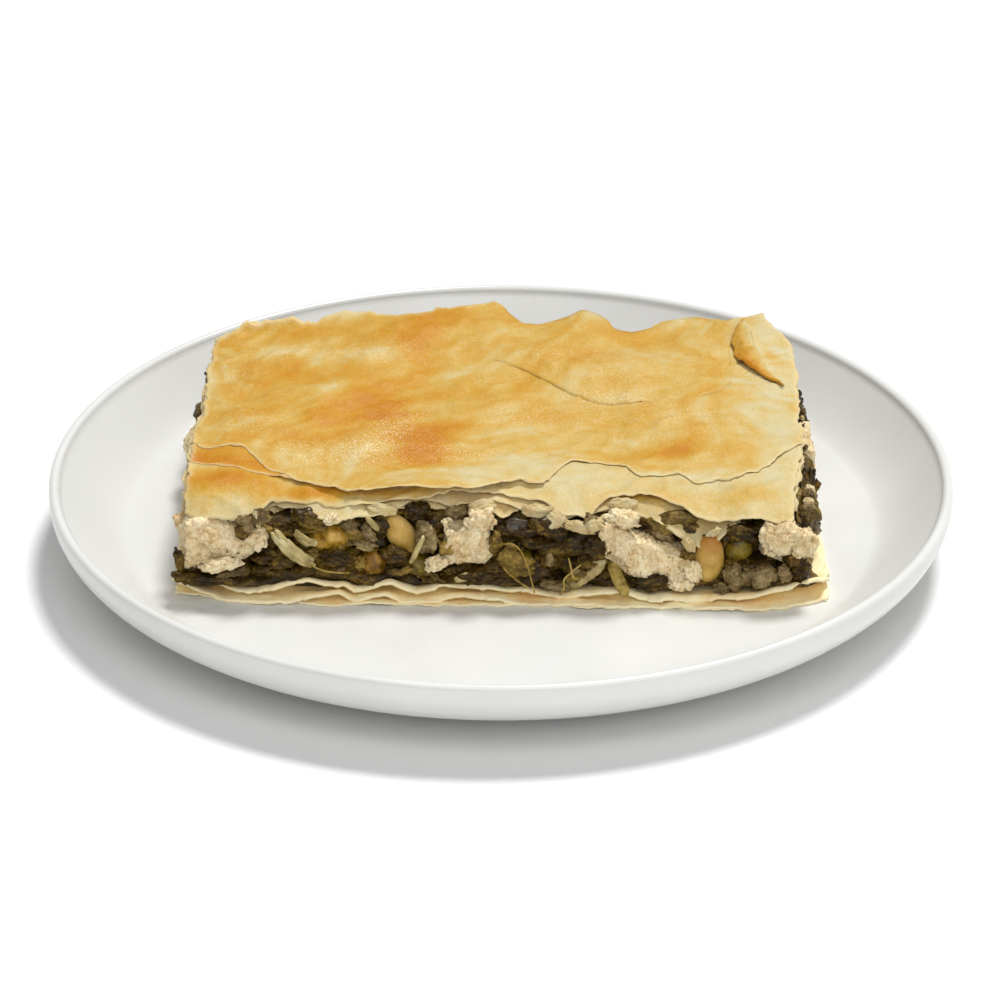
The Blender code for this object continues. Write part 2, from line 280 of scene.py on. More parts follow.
# %% [markdown]
# ## Materials
# Every finish is a small tree of nodes on Object coordinates, in metres. So a noise
# of scale 1000 has hills one millimetre apart, and the pattern stays on the piece.
# Colours are written from 0 to 255. A few helpers keep each tree short to read.

# %% Helpers for materials
def srgb(red, green, blue):
    """A colour picked on the 0 to 255 scale, as the linear value that shaders use."""
    def linear(c):
        c /= 255
        return c / 12.92 if c <= 0.04045 else ((c + 0.055) / 1.055) ** 2.4
    return (linear(red), linear(green), linear(blue), 1.0)


class Finish:
    """A material's node tree with its Principled shader, and short ways to add nodes."""

    def __init__(self, name, **sockets):
        self.material = bpy.data.materials.new(name)
        self.material.use_nodes = True
        self.nodes = self.material.node_tree.nodes
        self.links = self.material.node_tree.links
        self.shader = self.nodes["Principled BSDF"]
        self.place = self.nodes.new("ShaderNodeTexCoord").outputs["Object"]
        for socket, value in sockets.items():
            self.shader.inputs[socket.replace("_", " ")].default_value = value

    def link(self, source, target):
        """Links a node's output to an input, or sets the input to a number."""
        if isinstance(source, (int, float)):
            target.default_value = source
        else:
            self.links.new(source, target)

    def stretched(self, x, y, z):
        """The place, scaled on each axis: below 1 draws a pattern out along it."""
        mapping = self.nodes.new("ShaderNodeMapping")
        mapping.inputs["Scale"].default_value = (x, y, z)
        self.link(self.place, mapping.inputs["Vector"])
        return mapping.outputs["Vector"]

    def noise(self, size, detail=3.0, roughness=0.5, place=None, distortion=0.0):
        """Noise whose hills are about size apart."""
        node = self.nodes.new("ShaderNodeTexNoise")
        node.inputs["Scale"].default_value = 1 / size
        node.inputs["Detail"].default_value = detail
        node.inputs["Roughness"].default_value = roughness
        node.inputs["Distortion"].default_value = distortion
        self.link(place or self.place, node.inputs["Vector"])
        return node.outputs["Fac"]

    def cells(self, size, smooth=0.6):
        """Soft round cells about size apart, as distance from their middles."""
        node = self.nodes.new("ShaderNodeTexVoronoi")
        node.feature = "SMOOTH_F1"
        node.inputs["Scale"].default_value = 1 / size
        node.inputs["Smoothness"].default_value = smooth
        self.link(self.place, node.inputs["Vector"])
        return node.outputs["Distance"]

    def mark(self, name):
        """A value that the mesh carries for each point."""
        node = self.nodes.new("ShaderNodeAttribute")
        node.attribute_name = name
        return node.outputs["Fac"]

    def math(self, operation, a, b=0.0, clamp=False):
        node = self.nodes.new("ShaderNodeMath")
        node.operation = operation
        node.use_clamp = clamp
        self.link(a, node.inputs[0])
        self.link(b, node.inputs[1])
        return node.outputs["Value"]

    def average(self, a, b):
        return self.math("ADD", self.math("MULTIPLY", a, 0.5), self.math("MULTIPLY", b, 0.5))

    def spread(self, value, low, high, to_low=0.0, to_high=1.0):
        """value from low to high becomes to_low to to_high, and stops there."""
        node = self.nodes.new("ShaderNodeMapRange")
        for socket, number in zip(("From Min", "From Max", "To Min", "To Max"),
                                  (low, high, to_low, to_high)):
            node.inputs[socket].default_value = number
        self.link(value, node.inputs["Value"])
        return node.outputs["Result"]

    def colours(self, value, *stops):
        """A colour ramp with (position, colour) stops, colours from 0 to 255."""
        node = self.nodes.new("ShaderNodeValToRGB")
        while len(node.color_ramp.elements) < len(stops):
            node.color_ramp.elements.new(0.5)
        for element, (position, colour) in zip(node.color_ramp.elements, stops):
            element.position = position
            element.color = srgb(*colour)
        self.link(value, node.inputs["Fac"])
        return node.outputs["Color"]

    def mix(self, share, a, b):
        """Colour a, and b by its share. Either may be numbers from 0 to 255."""
        node = self.nodes.new("ShaderNodeMix")
        node.data_type = "RGBA"
        self.link(share, node.inputs["Factor"])
        for source, target in ((a, node.inputs[6]), (b, node.inputs[7])):
            if isinstance(source, tuple):
                target.default_value = srgb(*source)
            else:
                self.link(source, target)
        return node.outputs[2]

    def bumps(self, height, depth, strength=1.0, under=None):
        """A bump whose hills are depth high, laid over another if it is given."""
        node = self.nodes.new("ShaderNodeBump")
        node.inputs["Strength"].default_value = strength
        node.inputs["Distance"].default_value = depth
        self.link(height, node.inputs["Height"])
        if under is not None:
            self.link(under, node.inputs["Normal"])
        return node.outputs["Normal"]

    def finish(self, colour, roughness, normal):
        """Links the three to the shader and returns the material."""
        for source, socket in ((colour, "Base Color"), (roughness, "Roughness"),
                               (normal, "Normal")):
            self.link(source, self.shader.inputs[socket])
        return self.material

# %% [markdown]
# ## The plate
# A potter turns a plate on a wheel: one profile, the same all the way round. Here
# Geometry Nodes do that. The profile's points are worked out with arcs, and the tree
# lays them along a grid's rows, turns each column about the axis and closes the seam.
# The glaze is white and satin, with faint clouds and a few specks.

# %% The plate's profile
plate_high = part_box("plate")[1]
PLATE_RADIUS = plate_high.x
PLATE_TOP = plate_high.z
WELL_HEIGHT = 6.5 * MM
WELL_RADIUS = 91 * MM
WALL_CURVE = 1.5
LIP = 2.6 * MM
BASE_HEIGHT = 2.3 * MM
OUTER_RUN = 30 * MM
FOOT_RADIUS = 70 * MM
FOOT_WIDTH = 5 * MM
COLUMNS_AROUND = 288


def arc(centre, radii, start, end, steps):
    """Points on an ellipse's arc, angles in degrees."""
    turns = np.radians(np.linspace(start, end, steps))
    return [(centre[0] + radii[0] * math.cos(a), centre[1] + radii[1] * math.sin(a))
            for a in turns]


def well_height(radius):
    """Height of the plate's upper face: level, then curving up to the lip."""
    share = np.maximum(0, radius - WELL_RADIUS) / (PLATE_RADIUS - LIP - WELL_RADIUS)
    return WELL_HEIGHT + (PLATE_TOP - LIP / 2 - WELL_HEIGHT) * share ** WALL_CURVE


def plate_profile():
    """(radius, height) from the middle of the well, over the lip, to the middle below."""
    lip_middle = PLATE_RADIUS - LIP / 2
    points = [(r, WELL_HEIGHT) for r in np.linspace(0, WELL_RADIUS, 12)]
    points += [(r, well_height(r)) for r in np.linspace(WELL_RADIUS, PLATE_RADIUS - LIP, 18)[1:]]
    points += arc((lip_middle, PLATE_TOP - LIP / 2), (LIP / 2, LIP / 2), 165, 0, 10)
    outer = (OUTER_RUN, PLATE_TOP - LIP - BASE_HEIGHT)
    points += arc((PLATE_RADIUS - OUTER_RUN, BASE_HEIGHT + outer[1]), outer, 0, -90, 20)
    foot = (FOOT_WIDTH / 2, BASE_HEIGHT)
    points += arc((FOOT_RADIUS, BASE_HEIGHT), foot, 0, -180, 13)
    points += [(r, BASE_HEIGHT) for r in np.linspace(FOOT_RADIUS - FOOT_WIDTH, 0, 8)]
    return points


print("the plate's profile has", len(plate_profile()), "points")

# %% Helpers for Geometry Nodes
class Recipe:
    """A Geometry Nodes tree with named inputs, and a way to run it once."""

    def __init__(self, name, **inputs):
        self.tree = bpy.data.node_groups.new(name, "GeometryNodeTree")
        faces = self.tree.interface
        faces.new_socket("Geometry", in_out="INPUT", socket_type="NodeSocketGeometry")
        self.ids = {}
        kinds = {float: "NodeSocketFloat", int: "NodeSocketInt",
                 bpy.types.Collection: "NodeSocketCollection",
                 bpy.types.Material: "NodeSocketMaterial"}
        self.values = inputs
        for label, value in inputs.items():
            kind = next(k for t, k in kinds.items() if isinstance(value, t))
            socket = faces.new_socket(label, in_out="INPUT", socket_type=kind)
            self.ids[label] = socket.identifier
        faces.new_socket("Geometry", in_out="OUTPUT", socket_type="NodeSocketGeometry")
        self.source = self.add("NodeGroupInput")
        self.result = self.add("NodeGroupOutput")

    def add(self, kind, settings=None, **sockets):
        """A node with its settings, and its sockets linked or set."""
        node = self.tree.nodes.new(kind)
        for setting, value in (settings or {}).items():
            setattr(node, setting, value)
        for label, value in sockets.items():
            self.feed(node.inputs[label.replace("_", " ")], value)
        return node

    def feed(self, socket, value):
        """Links an output to the socket, or sets the socket to a value."""
        if isinstance(value, bpy.types.NodeSocket):
            self.tree.links.new(value, socket)
        else:
            socket.default_value = value

    def math(self, operation, a, b=0.0):
        node = self.add("ShaderNodeMath", {"operation": operation})
        self.feed(node.inputs[0], a)
        self.feed(node.inputs[1], b)
        return node.outputs[0]

    def input(self, label):
        return self.source.outputs[label]

    def run(self, name, start):
        """Runs the tree on the start object and returns the result as a plain mesh object."""
        modifier = start.modifiers.new("recipe", "NODES")
        modifier.node_group = self.tree
        for label, value in self.values.items():
            modifier[self.ids[label]] = value
        graph = bpy.context.evaluated_depsgraph_get()
        mesh = bpy.data.meshes.new_from_object(start.evaluated_get(graph))
        start.modifiers.remove(modifier)
        bpy.data.objects.remove(start)
        mesh.name = name
        return in_scene(name, mesh)

# %% The plate's glaze
def white_glaze():
    glaze = Finish("white glaze", Specular_IOR_Level=0.5, Coat_Weight=0.12, Coat_Roughness=0.18)
    cloud = glaze.noise(26 * MM, 3)
    speck = glaze.spread(glaze.noise(1.1 * MM, 2, 0.6), 0.74, 0.80)
    white = glaze.colours(cloud, (0.3, (221, 221, 217)), (0.7, (225, 225, 222)))
    colour = glaze.mix(glaze.math("MULTIPLY", speck, 0.3), white, (198, 190, 172))
    ripple = glaze.bumps(glaze.noise(12 * MM, 2), 0.04 * MM, 0.2)
    peel = glaze.bumps(glaze.noise(0.9 * MM, 2), 0.02 * MM, 0.25, ripple)
    return glaze.finish(colour, glaze.spread(cloud, 0.3, 0.7, 0.26, 0.36), peel)


glaze = white_glaze()

# %% Turn the plate
def turn_plate():
    """The profile's points, laid along the rows of a grid and turned about the axis."""
    profile = plate_profile()
    start = in_scene("profile", mesh_of("profile", [(r, 0, h) for r, h in profile], []))
    wheel = Recipe("turned plate", Around=COLUMNS_AROUND, Along=len(profile), Glaze=glaze)
    grid = wheel.add("GeometryNodeMeshGrid", Size_X=1.0, Size_Y=1.0,
                     Vertices_X=wheel.input("Around"), Vertices_Y=wheel.input("Along"))
    position = wheel.add("GeometryNodeInputPosition").outputs[0]
    where = wheel.add("ShaderNodeSeparateXYZ", Vector=position)
    turn = wheel.math("MULTIPLY", where.outputs["X"], 2 * math.pi)
    last = wheel.math("SUBTRACT", wheel.input("Along"), 1)
    along = wheel.math("ADD", where.outputs["Y"], 0.5)
    row = wheel.math("ROUND", wheel.math("MULTIPLY", along, last))
    point = wheel.add("GeometryNodeSampleIndex", {"data_type": "FLOAT_VECTOR"},
                      Geometry=wheel.input("Geometry"), Index=row, Value=position)
    turned = wheel.add("ShaderNodeVectorRotate", {"rotation_type": "Z_AXIS"},
                       Vector=point.outputs["Value"], Angle=turn)
    bent = wheel.add("GeometryNodeSetPosition", Geometry=grid.outputs["Mesh"],
                     Position=turned.outputs["Vector"])
    closed = wheel.add("GeometryNodeMergeByDistance", Geometry=bent.outputs["Geometry"],
                       Distance=0.00001)
    out = wheel.add("GeometryNodeFlipFaces", Mesh=closed.outputs["Geometry"])
    smooth = wheel.add("GeometryNodeSetShadeSmooth", Geometry=out.outputs["Mesh"])
    real = wheel.add("GeometryNodeRealizeInstances", Geometry=smooth.outputs["Geometry"])
    painted = wheel.add("GeometryNodeSetMaterial", Geometry=real.outputs["Geometry"],
                        Material=wheel.input("Glaze"))
    wheel.feed(wheel.result.inputs[0], painted.outputs["Geometry"])
    return wheel.run("turned_plate", start)


def volume(piece):
    """The piece's volume in cubic centimetres, below zero if it is inside out."""
    bm = bmesh.new()
    bm.from_mesh(piece.data)
    size = bm.calc_volume(signed=True)
    bm.free()
    return round(size * 1e6, 2)


plate = dress(turn_plate(), "plate_glaze", "plate")
print("the plate's volume is", volume(plate), "cm3, with", len(plate.data.polygons), "faces")

# %% [markdown]
# ## The shape under the crust
# The frame's top crust is one solid, as thick as its stack of sheets. Its upper face
# is measured by dropping rays on it, and a cubic B-spline through the heights makes
# it smooth. Every sheet of filo starts from this one surface, so the sheets lie
# together in the middle and part only towards their edges.

# %% Measure the top crust
ABOVE_ALL = 0.1


def heights_of(node, columns, rows):
    """Heights of a node's upper face on a grid over its box. Gaps are filled from beside them."""
    inward = 1.5 * MM
    low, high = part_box(node)
    source = bpy.data.objects[node]
    places = [source.matrix_world @ vertex.co for vertex in source.data.vertices]
    faces = [list(face.vertices) for face in source.data.polygons]
    tree = BVHTree.FromPolygons(places, faces)
    xs = np.linspace(low.x + inward, high.x - inward, columns)
    ys = np.linspace(low.y + inward, high.y - inward, rows)
    heights = np.full((columns, rows), np.nan)
    for i, x in enumerate(xs):
        for j, y in enumerate(ys):
            hit = tree.ray_cast(Vector((x, y, ABOVE_ALL)), Vector((0, 0, -1)))[0]
            if hit is not None:
                heights[i, j] = hit.z
    print(node, "was missed by", int(np.isnan(heights).sum()), "of", heights.size, "rays")
    for j in range(rows):
        row = heights[:, j]
        good = ~np.isnan(row)
        if good.any():
            heights[:, j] = np.interp(xs, xs[good], row[good])
    for i in range(columns):
        column = heights[i]
        good = ~np.isnan(column)
        heights[i] = np.interp(ys, ys[good], column[good])
    return xs, ys, heights


def smooth_surface(xs, ys, heights):
    """A function of x and y: the cubic B-spline of a grid of heights."""
    def weights(t):
        return ((1 - t) ** 3 / 6, (3 * t ** 3 - 6 * t ** 2 + 4) / 6,
                (-3 * t ** 3 + 3 * t ** 2 + 3 * t + 1) / 6, t ** 3 / 6)

    def surface(x, y):
        x, y = np.broadcast_arrays(np.asarray(x, float), np.asarray(y, float))
        u = np.clip((x - xs[0]) / (xs[1] - xs[0]), 0, len(xs) - 1.001)
        v = np.clip((y - ys[0]) / (ys[1] - ys[0]), 0, len(ys) - 1.001)
        i, j = np.floor(u).astype(int), np.floor(v).astype(int)
        total = 0
        for k, wx in enumerate(weights(u - i)):
            for m, wy in enumerate(weights(v - j)):
                a = np.clip(i + k - 1, 0, len(xs) - 1)
                b = np.clip(j + m - 1, 0, len(ys) - 1)
                total = total + wx * wy * heights[a, b]
        return total

    return surface


crust_top = smooth_surface(*heights_of("top_crust", 40, 28))
print("the top crust is", round(float(crust_top(0, 0)) / MM, 1), "mm high in its middle")

# %% [markdown]
# ## Creases, bubbles and browning
# The upper sheets are puffed and creased, and the oven browns what stands highest.
# The named places below are in millimetres. A crease is a line with a small rise on
# one side, a bubble is a soft round swelling, and a browned or pale place is an oval.
# Painted glints are ovals too, where white specks of painted highlight are mixed in.

# %% Creases, bubbles and browned places
CREASES = [((-48, -4), (-30, 11), 0.5, 3.4), ((-30, 11), (-17, 43), 0.5, 3.6),
           ((-60, 14), (-42, 20), 0.35, 2.0), ((6, -17), (20, -13), 0.3, 2.0),
           ((-66, 2), (-50, 8), 0.35, 2.4), ((-8, 19), (8, 21), 0.3, 1.6),
           ((58, 2), (36, -3), 0.4, 2.6), ((64, -8), (30, -12), 0.35, 2.6),
           ((34, 14), (10, 2), 0.35, 3.0), ((56, 30), (24, 36), 0.3, 2.6),
           ((-20, 47), (-52, 30), 0.3, 3.0)]
BUBBLES = [(-1, 55, 5, 5, 0, 1.0), (22, 52, 5, 4, 0, 0.7), (-32, -16, 8, 9, 0, 1.3),
           (-19, -12, 8, 10, 0, 1.0), (-54, 32, 12, 9, 10, 1.1), (38, -3, 16, 10, -12, 1.1),
           (32, 24, 15, 9, 8, 1.2), (0, 44, 12, 6, 0, 0.9), (-62, 2, 8, 10, 0, 0.9),
           (54, -12, 10, 8, -20, 0.9), (-2, 8, 14, 9, 10, 0.8), (-30, 28, 8, 11, -30, 1.1),
           (14, -22, 10, 5, 0, 0.6), (48, 38, 8, 9, 0, 0.8), (-46, -12, 7, 8, 20, 0.8),
           (-44, 12, 7, 6, 10, 0.7), (16, 36, 9, 7, 0, 0.7)]
BROWNED = [(-29, 4, 7, 8, 10, 0.48), (-33, 12, 12, 4, 32, 0.18), (-41, -9, 8, 3.5, 12, 0.20),
           (-19, -15, 7, 9, -20, 0.52), (-15, -6, 6, 5, 20, 0.22), (-8, -3, 7, 3.5, 16, 0.20),
           (-20, 43, 10, 8, 0, 0.26), (-18, 28, 4, 10, -8, 0.22), (-52, 20, 10, 5, 8, 0.20),
           (-51, 44, 15, 5, 4, 0.16), (42, -15, 10, 4, -4, 0.36), (48.6, -4, 2, 2, 0, 0.2),
           (4, 19, 6, 2.4, -10, 0.20), (52, 22, 5, 10, 0, 0.14), (-65, 5, 8, 8, 10, 0.10),
           (11, 34, 10, 3, -20, 0.14), (-60, -8, 11, 4, -8, 0.14), (26, -8, 12, 5, 0, 0.04),
           (-36, 22, 5, 5, 0, 0.10), (-66, 30, 5, 9, 0, 0.08), (20, 8, 16, 2.5, -20, 0.08),
           (-43, 0, 6, 3.4, 10, 0.30), (-52, 24, 6, 7, 0, 0.14), (-25, 34, 7, 6, -30, 0.26),
           (-14, 48, 7, 6, 0, 0.24), (-32, 2, 8, 4, 10, 0.10), (34, 42, 9, 5, 0, 0.20),
           (-28, 8, 6, 4, 25, 0.22), (-66, -19, 8, 4, 0, 0.16), (-20, -17, 5, 6, -20, 0.16)]
# Paler places: some are paler baking, and some are painted highlight on bubbles and creases.
PALE_AND_HIGHLIGHT = [(-31.5, -16, 6, 7, 10, 0.06), (-50, -20, 8, 6, -20, 0.18), (-30, 31, 8, 4, 0, 0.18),
        (-52, 35, 8, 4, 5, 0.20), (-43, 13, 6, 4, 0, 0.16), (-8, 23, 7, 3, 0, 0.14),
        (-5, 34, 13, 6, 0, 0.10), (5, -7, 12, 8, 0, 0.14), (48, 3, 10, 5, 0, 0.12),
        (30, 10, 9, 4, -10, 0.16), (66, 22, 9, 30, 0, 0.30), (68, -12, 9, 14, 0, 0.26),
        (30, -27, 44, 5, 2, 0.30), (-8, -33, 22, 5, 0, 0.2), (64, 44, 10, 12, 0, 0.22),
        (-70, -2, 5, 8, 0, 0.12), (-64, -2, 6, 4, 0, 0.10), (39, 26, 10, 11, 0, 0.16),
        (32, -10, 14, 6, 0, 0.20), (2, 0, 6, 4, 0, 0.12), (2, -21, 8, 5, 0, 0.18),
        (12, -21, 8, 5, 0, 0.18), (21, 53, 6, 4, 0, 0.26), (39, 53, 8, 4, 0, 0.32),
        (-34, 53, 6, 4, 0, 0.30), (-44, 52, 6, 4, 0, 0.26), (-34, 31, 6, 4, 0, 0.18),
        (11, 10, 8, 4, 0, 0.16), (-71, 26, 4, 10, 0, 0.22), (57, 21, 5, 6, 0, 0.26),
        (70, -4, 5, 30, 0, 0.12)]
# Painted glints: white specks of painted highlight stand for the sun's glints here.
PAINTED_GLINTS = [(-31.5, -16, 8, 8, 10, 1.0), (-25, -3, 6, 9, -30, 0.8), (-49, -17, 7, 7, 10, 0.6),
         (-52, 35, 10, 5, 0, 0.5), (-30, 31, 9, 5, 0, 0.5), (30, 10, 10, 5, 0, 0.6),
         (-12, -18, 8, 6, 0, 0.6), (44, 0, 12, 6, 0, 0.4), (24, 30, 16, 6, 0, 0.4),
         (-62, -2, 7, 5, 0, 0.5), (8, 2, 14, 7, 0, 0.3), (-66, 24, 5, 9, 0, 0.3)]


def ovals(x, y, places):
    """The sum of soft ovals: middle x and y, two radii, turn in degrees, amount; in mm."""
    total = 0
    for middle_x, middle_y, radius_x, radius_y, turn, amount in places:
        angle = math.radians(turn)
        dx, dy = np.asarray(x) / MM - middle_x, np.asarray(y) / MM - middle_y
        along = (dx * math.cos(angle) + dy * math.sin(angle)) / radius_x
        across = (dy * math.cos(angle) - dx * math.sin(angle)) / radius_y
        total = total + amount * np.exp(-along ** 2 - across ** 2)
    return total


def crease_height(x, y, start, end, rise, width):
    """A fold: steep where it starts, on the line's left, and fading over a few widths."""
    start, end = np.array(start) * MM, np.array(end) * MM
    length = np.linalg.norm(end - start)
    way = (end - start) / length
    along = ((x - start[0]) * way[0] + (y - start[1]) * way[1]) / length
    across = ((y - start[1]) * way[0] - (x - start[0]) * way[1]) / (width * MM)
    along_share = ramp(along, -0.15, 0.2) * (1 - ramp(along, 0.8, 1.15))
    fading = np.exp(-np.maximum(across, 0) / 3)
    return rise * MM * along_share * ramp(across, -0.35, 0.25) * fading


def common_surface(x, y):
    """The upper face of the stack, with its creases, bubbles and crumples, in metres."""
    height = crust_top(x, y) + ovals(x, y, BUBBLES) * MM
    for fold in CREASES:
        height = height + crease_height(x, y, *fold)
    bend = 3 * MM * hills(x, y, 30, 30, 40, 2.0)
    height += 0.55 * MM * noise((x + 2 * bend) / (13 * MM), (y - bend) / (10 * MM), 1.0, 41)
    ridges = 1 - np.abs(noise((x + bend) / (11 * MM), (y + 2 * bend) / (7 * MM), 5.0, 42))
    height += 0.60 * MM * (ridges ** 4 - 0.4)
    slant = 0.5 + 0.8 * hills(x, y, 40, 40, 44, 3.0)
    across = (y * np.cos(slant) - x * np.sin(slant)) / (2.3 * MM)
    along = (x * np.cos(slant) + y * np.sin(slant)) / (10 * MM)
    height += 0.17 * MM * noise(along, across, 1.0, 45)
    return height + 0.10 * MM * rough(x / (3.4 * MM), y / (2.6 * MM), 3.0, 43, 2)


def streaks(x, y):
    """Browner and paler streaks that run the way of the slow folds: about -0.2 to 0.2."""
    turn = 0.45 + 0.9 * hills(x, y, 45, 45, 46, 7.0)
    along = (x * np.cos(turn) + y * np.sin(turn)) / (17 * MM)
    across = (y * np.cos(turn) - x * np.sin(turn)) / (4.6 * MM)
    return 0.20 * noise(along, across, 1.0, 47) + 0.10 * noise(2 * along, 2 * across, 1.0, 48)

# %% [markdown]
# ## A sheet of filo
# Each sheet is a grid. Its four edges are lists of places in millimetres, joined by
# smooth curves and then torn: noise moves them in and out, coarse and fine. Towards
# an edge the sheet leaves the common surface, droops as far as its list says, and
# flutters a little. A sheet is also held just below the one that lies on it.

# %% Torn edges
def through(points, at, column):
    """Smooth values through a list of (place, value, ...) points, everything in mm."""
    places, reach = 400, 3
    table = np.array(sorted(points), float)
    fine = np.linspace(table[0, 0], table[-1, 0], places)
    values = np.interp(fine, table[:, 0], table[:, column])
    kernel = np.hanning(2 * reach + 1)
    padded = np.concatenate([np.full(reach, values[0]), values, np.full(reach, values[-1])])
    values = np.convolve(padded, kernel / kernel.sum(), "valid")
    return np.interp(np.asarray(at) / MM, fine, values) * MM


def torn(along, size, seed):
    """How far a torn edge strays: slow, quick and crumb-sized, in metres."""
    step = np.sign(waves(along, 2.6, seed + 3)) * 0.22
    return size * (0.8 * waves(along, 7, seed)
                   + 0.5 * waves(along, 2.3, seed + 1)
                   + 0.28 * waves(along, 0.9, seed + 2) + step * 0.6)


def spaced(length, fine, coarse, margin):
    """Places from 0 to 1, fine apart near both ends and coarse apart between."""
    at = [0.0]
    while at[-1] < length:
        near = min(at[-1], length - at[-1])
        at.append(at[-1] + fine + (coarse - fine) * float(ramp(near, margin, margin * 1.6)))
    return np.array(at) / at[-1]

# %% One sheet
LEAST_DROOP = 0.1
SIDE_BAND = 7 * MM
FINE_TO_SIDES = 12 * MM
FINE_TO_FRONT = 13 * MM
RIM_LIGHT_WIDTH = 0.9 * MM


class Sheet:
    """One sheet of filo, its edges in mm: front is (x, y, height), the others (along, place).

    Where the front edge has no height, it stays on the sheet's own surface.
    """

    def __init__(self, name, seed, depth, front, back, left, right, above=None,
                 tear=0.8, flutter=0.5, bend=9, side_droop=0.6, gap=0.3, surface=common_surface):
        self.name, self.seed, self.depth, self.above = name, seed, depth * MM, above
        self.back, self.left, self.right = back, left, right
        self.tear, self.flutter, self.bend = tear * MM, flutter * MM, bend * MM
        self.side_droop, self.gap, self.surface = side_droop * MM, gap * MM, surface
        self.front = []
        for x, y, *height in front:
            own = float(surface(x * MM, y * MM)) / MM - depth
            self.front.append((x, y, own - height[0] if height else LEAST_DROOP))

    def front_at(self, x):
        return through(self.front, x, 1) + torn(x, self.tear, self.seed)

    def back_at(self, x):
        return through(self.back, x, 1) + torn(x, self.tear, self.seed + 10)

    def left_at(self, y):
        return through(self.left, y, 1) + torn(y, self.tear, self.seed + 20)

    def right_at(self, y):
        return through(self.right, y, 1) + torn(y, self.tear, self.seed + 30)

    def to_sides(self, x, y):
        """How far a place is inside the left and right edges, less than 0 outside them."""
        return np.minimum(x - through(self.left, y, 1), through(self.right, y, 1) - x)

    def height(self, x, y):
        """The sheet's upper face, in metres, also a little way outside its edges."""
        to_front = np.maximum(0, y - through(self.front, x, 1))
        to_side = np.maximum(0, self.to_sides(x, y))
        to_back = np.maximum(0, through(self.back, x, 1) - y)
        near_front = np.clip(1 - to_front / self.bend, 0, 1) ** 2
        near_others = np.clip(1 - np.minimum(to_side, to_back) / SIDE_BAND, 0, 1) ** 2
        near_edge = np.maximum(near_front, near_others)
        height = self.surface(x, y) - self.depth
        height = height - through(self.front, x, 2) * near_front
        height = height - self.side_droop * (near_edge - near_front * 0.7)
        wave = hills(x, y, 6.5, 11, self.seed + 5)
        wave = wave + 0.4 * hills(x, y, 2.4, 3.5, self.seed + 6)
        height = height + self.flutter * near_edge * wave
        if self.above is not None:
            height = np.minimum(height, self.above.height(x, y) - self.gap)
        return height

    def points(self, u, v):
        """Positions for shares from left to right and from front to back."""
        first, last = self.left[0][1] * MM, self.right[0][1] * MM
        x = first + (last - first) * u
        for _ in range(3):
            y = self.front_at(x) * (1 - v) + self.back_at(x) * v
            x = self.left_at(y) * (1 - u) + self.right_at(y) * u
        return x, y, self.height(x, y)

    def make(self, material, fine=0.6, coarse=3.0, base=0.3, baked=1.0, own=(), thickness=0.22,
             rim=1.0):
        """The sheet as an object with a browned mark and an edge mark for its material.

        base is its even browning, and baked is its share of the crust's browned places, of
        its paler places, some of them painted highlight, and of its painted glints. own lists
        its own browned places, some of them painted shade in a hollow or fold, and rim is how
        strong the painted highlight on its torn edge is.
        """
        width = (self.right[0][1] - self.left[0][1]) * MM
        depth = (self.back[0][1] - self.front[0][1]) * MM
        u = spaced(width, fine * MM, fine * 1.15 * MM, FINE_TO_SIDES)
        v = spaced(depth, fine * MM, coarse * MM, FINE_TO_FRONT)
        x, y, z = self.points(*np.meshgrid(u, v))
        browned = base + baked * (ovals(x, y, BROWNED) - ovals(x, y, PALE_AND_HIGHLIGHT) + streaks(x, y))
        browned = browned + ovals(x, y, own)
        inside = np.minimum(np.minimum(x - self.left_at(y), self.right_at(y) - x),
                            np.minimum(y - self.front_at(x), self.back_at(x) - y))
        # the edge mark, for the painted highlight along the torn rim
        edge = rim * np.exp(-np.maximum(inside, 0) / RIM_LIGHT_WIDTH)
        sheet = new_piece(self.name, as_rows(x, y, z), grid_faces(len(u), len(v)), material,
                          browned=browned, edge=edge, shiny=baked * ovals(x, y, PAINTED_GLINTS))
        return thicken(sheet, thickness)

# %% The edges and sheets of the top crust
SIDE_LEFT = [(-42, -74.6), (-4, -74.5), (9, -72.5), (24, -72.2), (42, -71.6), (54, -71.0)]
SIDE_RIGHT = [(-42, 72.2), (-8, 73.0), (9, 72.6), (24, 73.2), (36, 72.8), (42, 72.2), (47, 69.2),
              (54, 66.2)]
BACK = [(-75, 46.0), (-68, 48.0), (-63.5, 50.1), (-56, 50.6), (-51, 49.8), (-47, 48.7),
        (-43, 50.6), (-39, 51.5), (-35.5, 51.6), (-29.5, 50.6), (-22, 50.2), (-14, 52.4),
        (-8.4, 53.3), (-3, 56.0), (-1, 57.0), (0.4, 56.0), (1.8, 53.4), (4.2, 50.3), (6.6, 48.4),
        (10, 50.0), (16.7, 51.3), (21.6, 53.8), (25, 53.2), (26.6, 52.0), (28, 47.0), (33, 46.8),
        (40, 51.0), (44, 52.4), (49.6, 53.6), (53, 52.6), (56.4, 50.5), (61, 53.8), (66, 56.0),
        (67.6, 54.0), (73, 48.0)]
SECOND_RIGHT = [(-44, 69.4), (-36, 69.8), (-28, 70.0), (-21, 71.4), (-14, 73.0), (-8, 72.6),
                (9, 72.2), (24, 72.8), (36, 72.4), (42, 71.8), (47, 68.8), (54, 65.8)]


def set_back(edge, by):
    """An edge list moved inward by some millimetres."""
    return [(along, place - by) for along, place in edge]


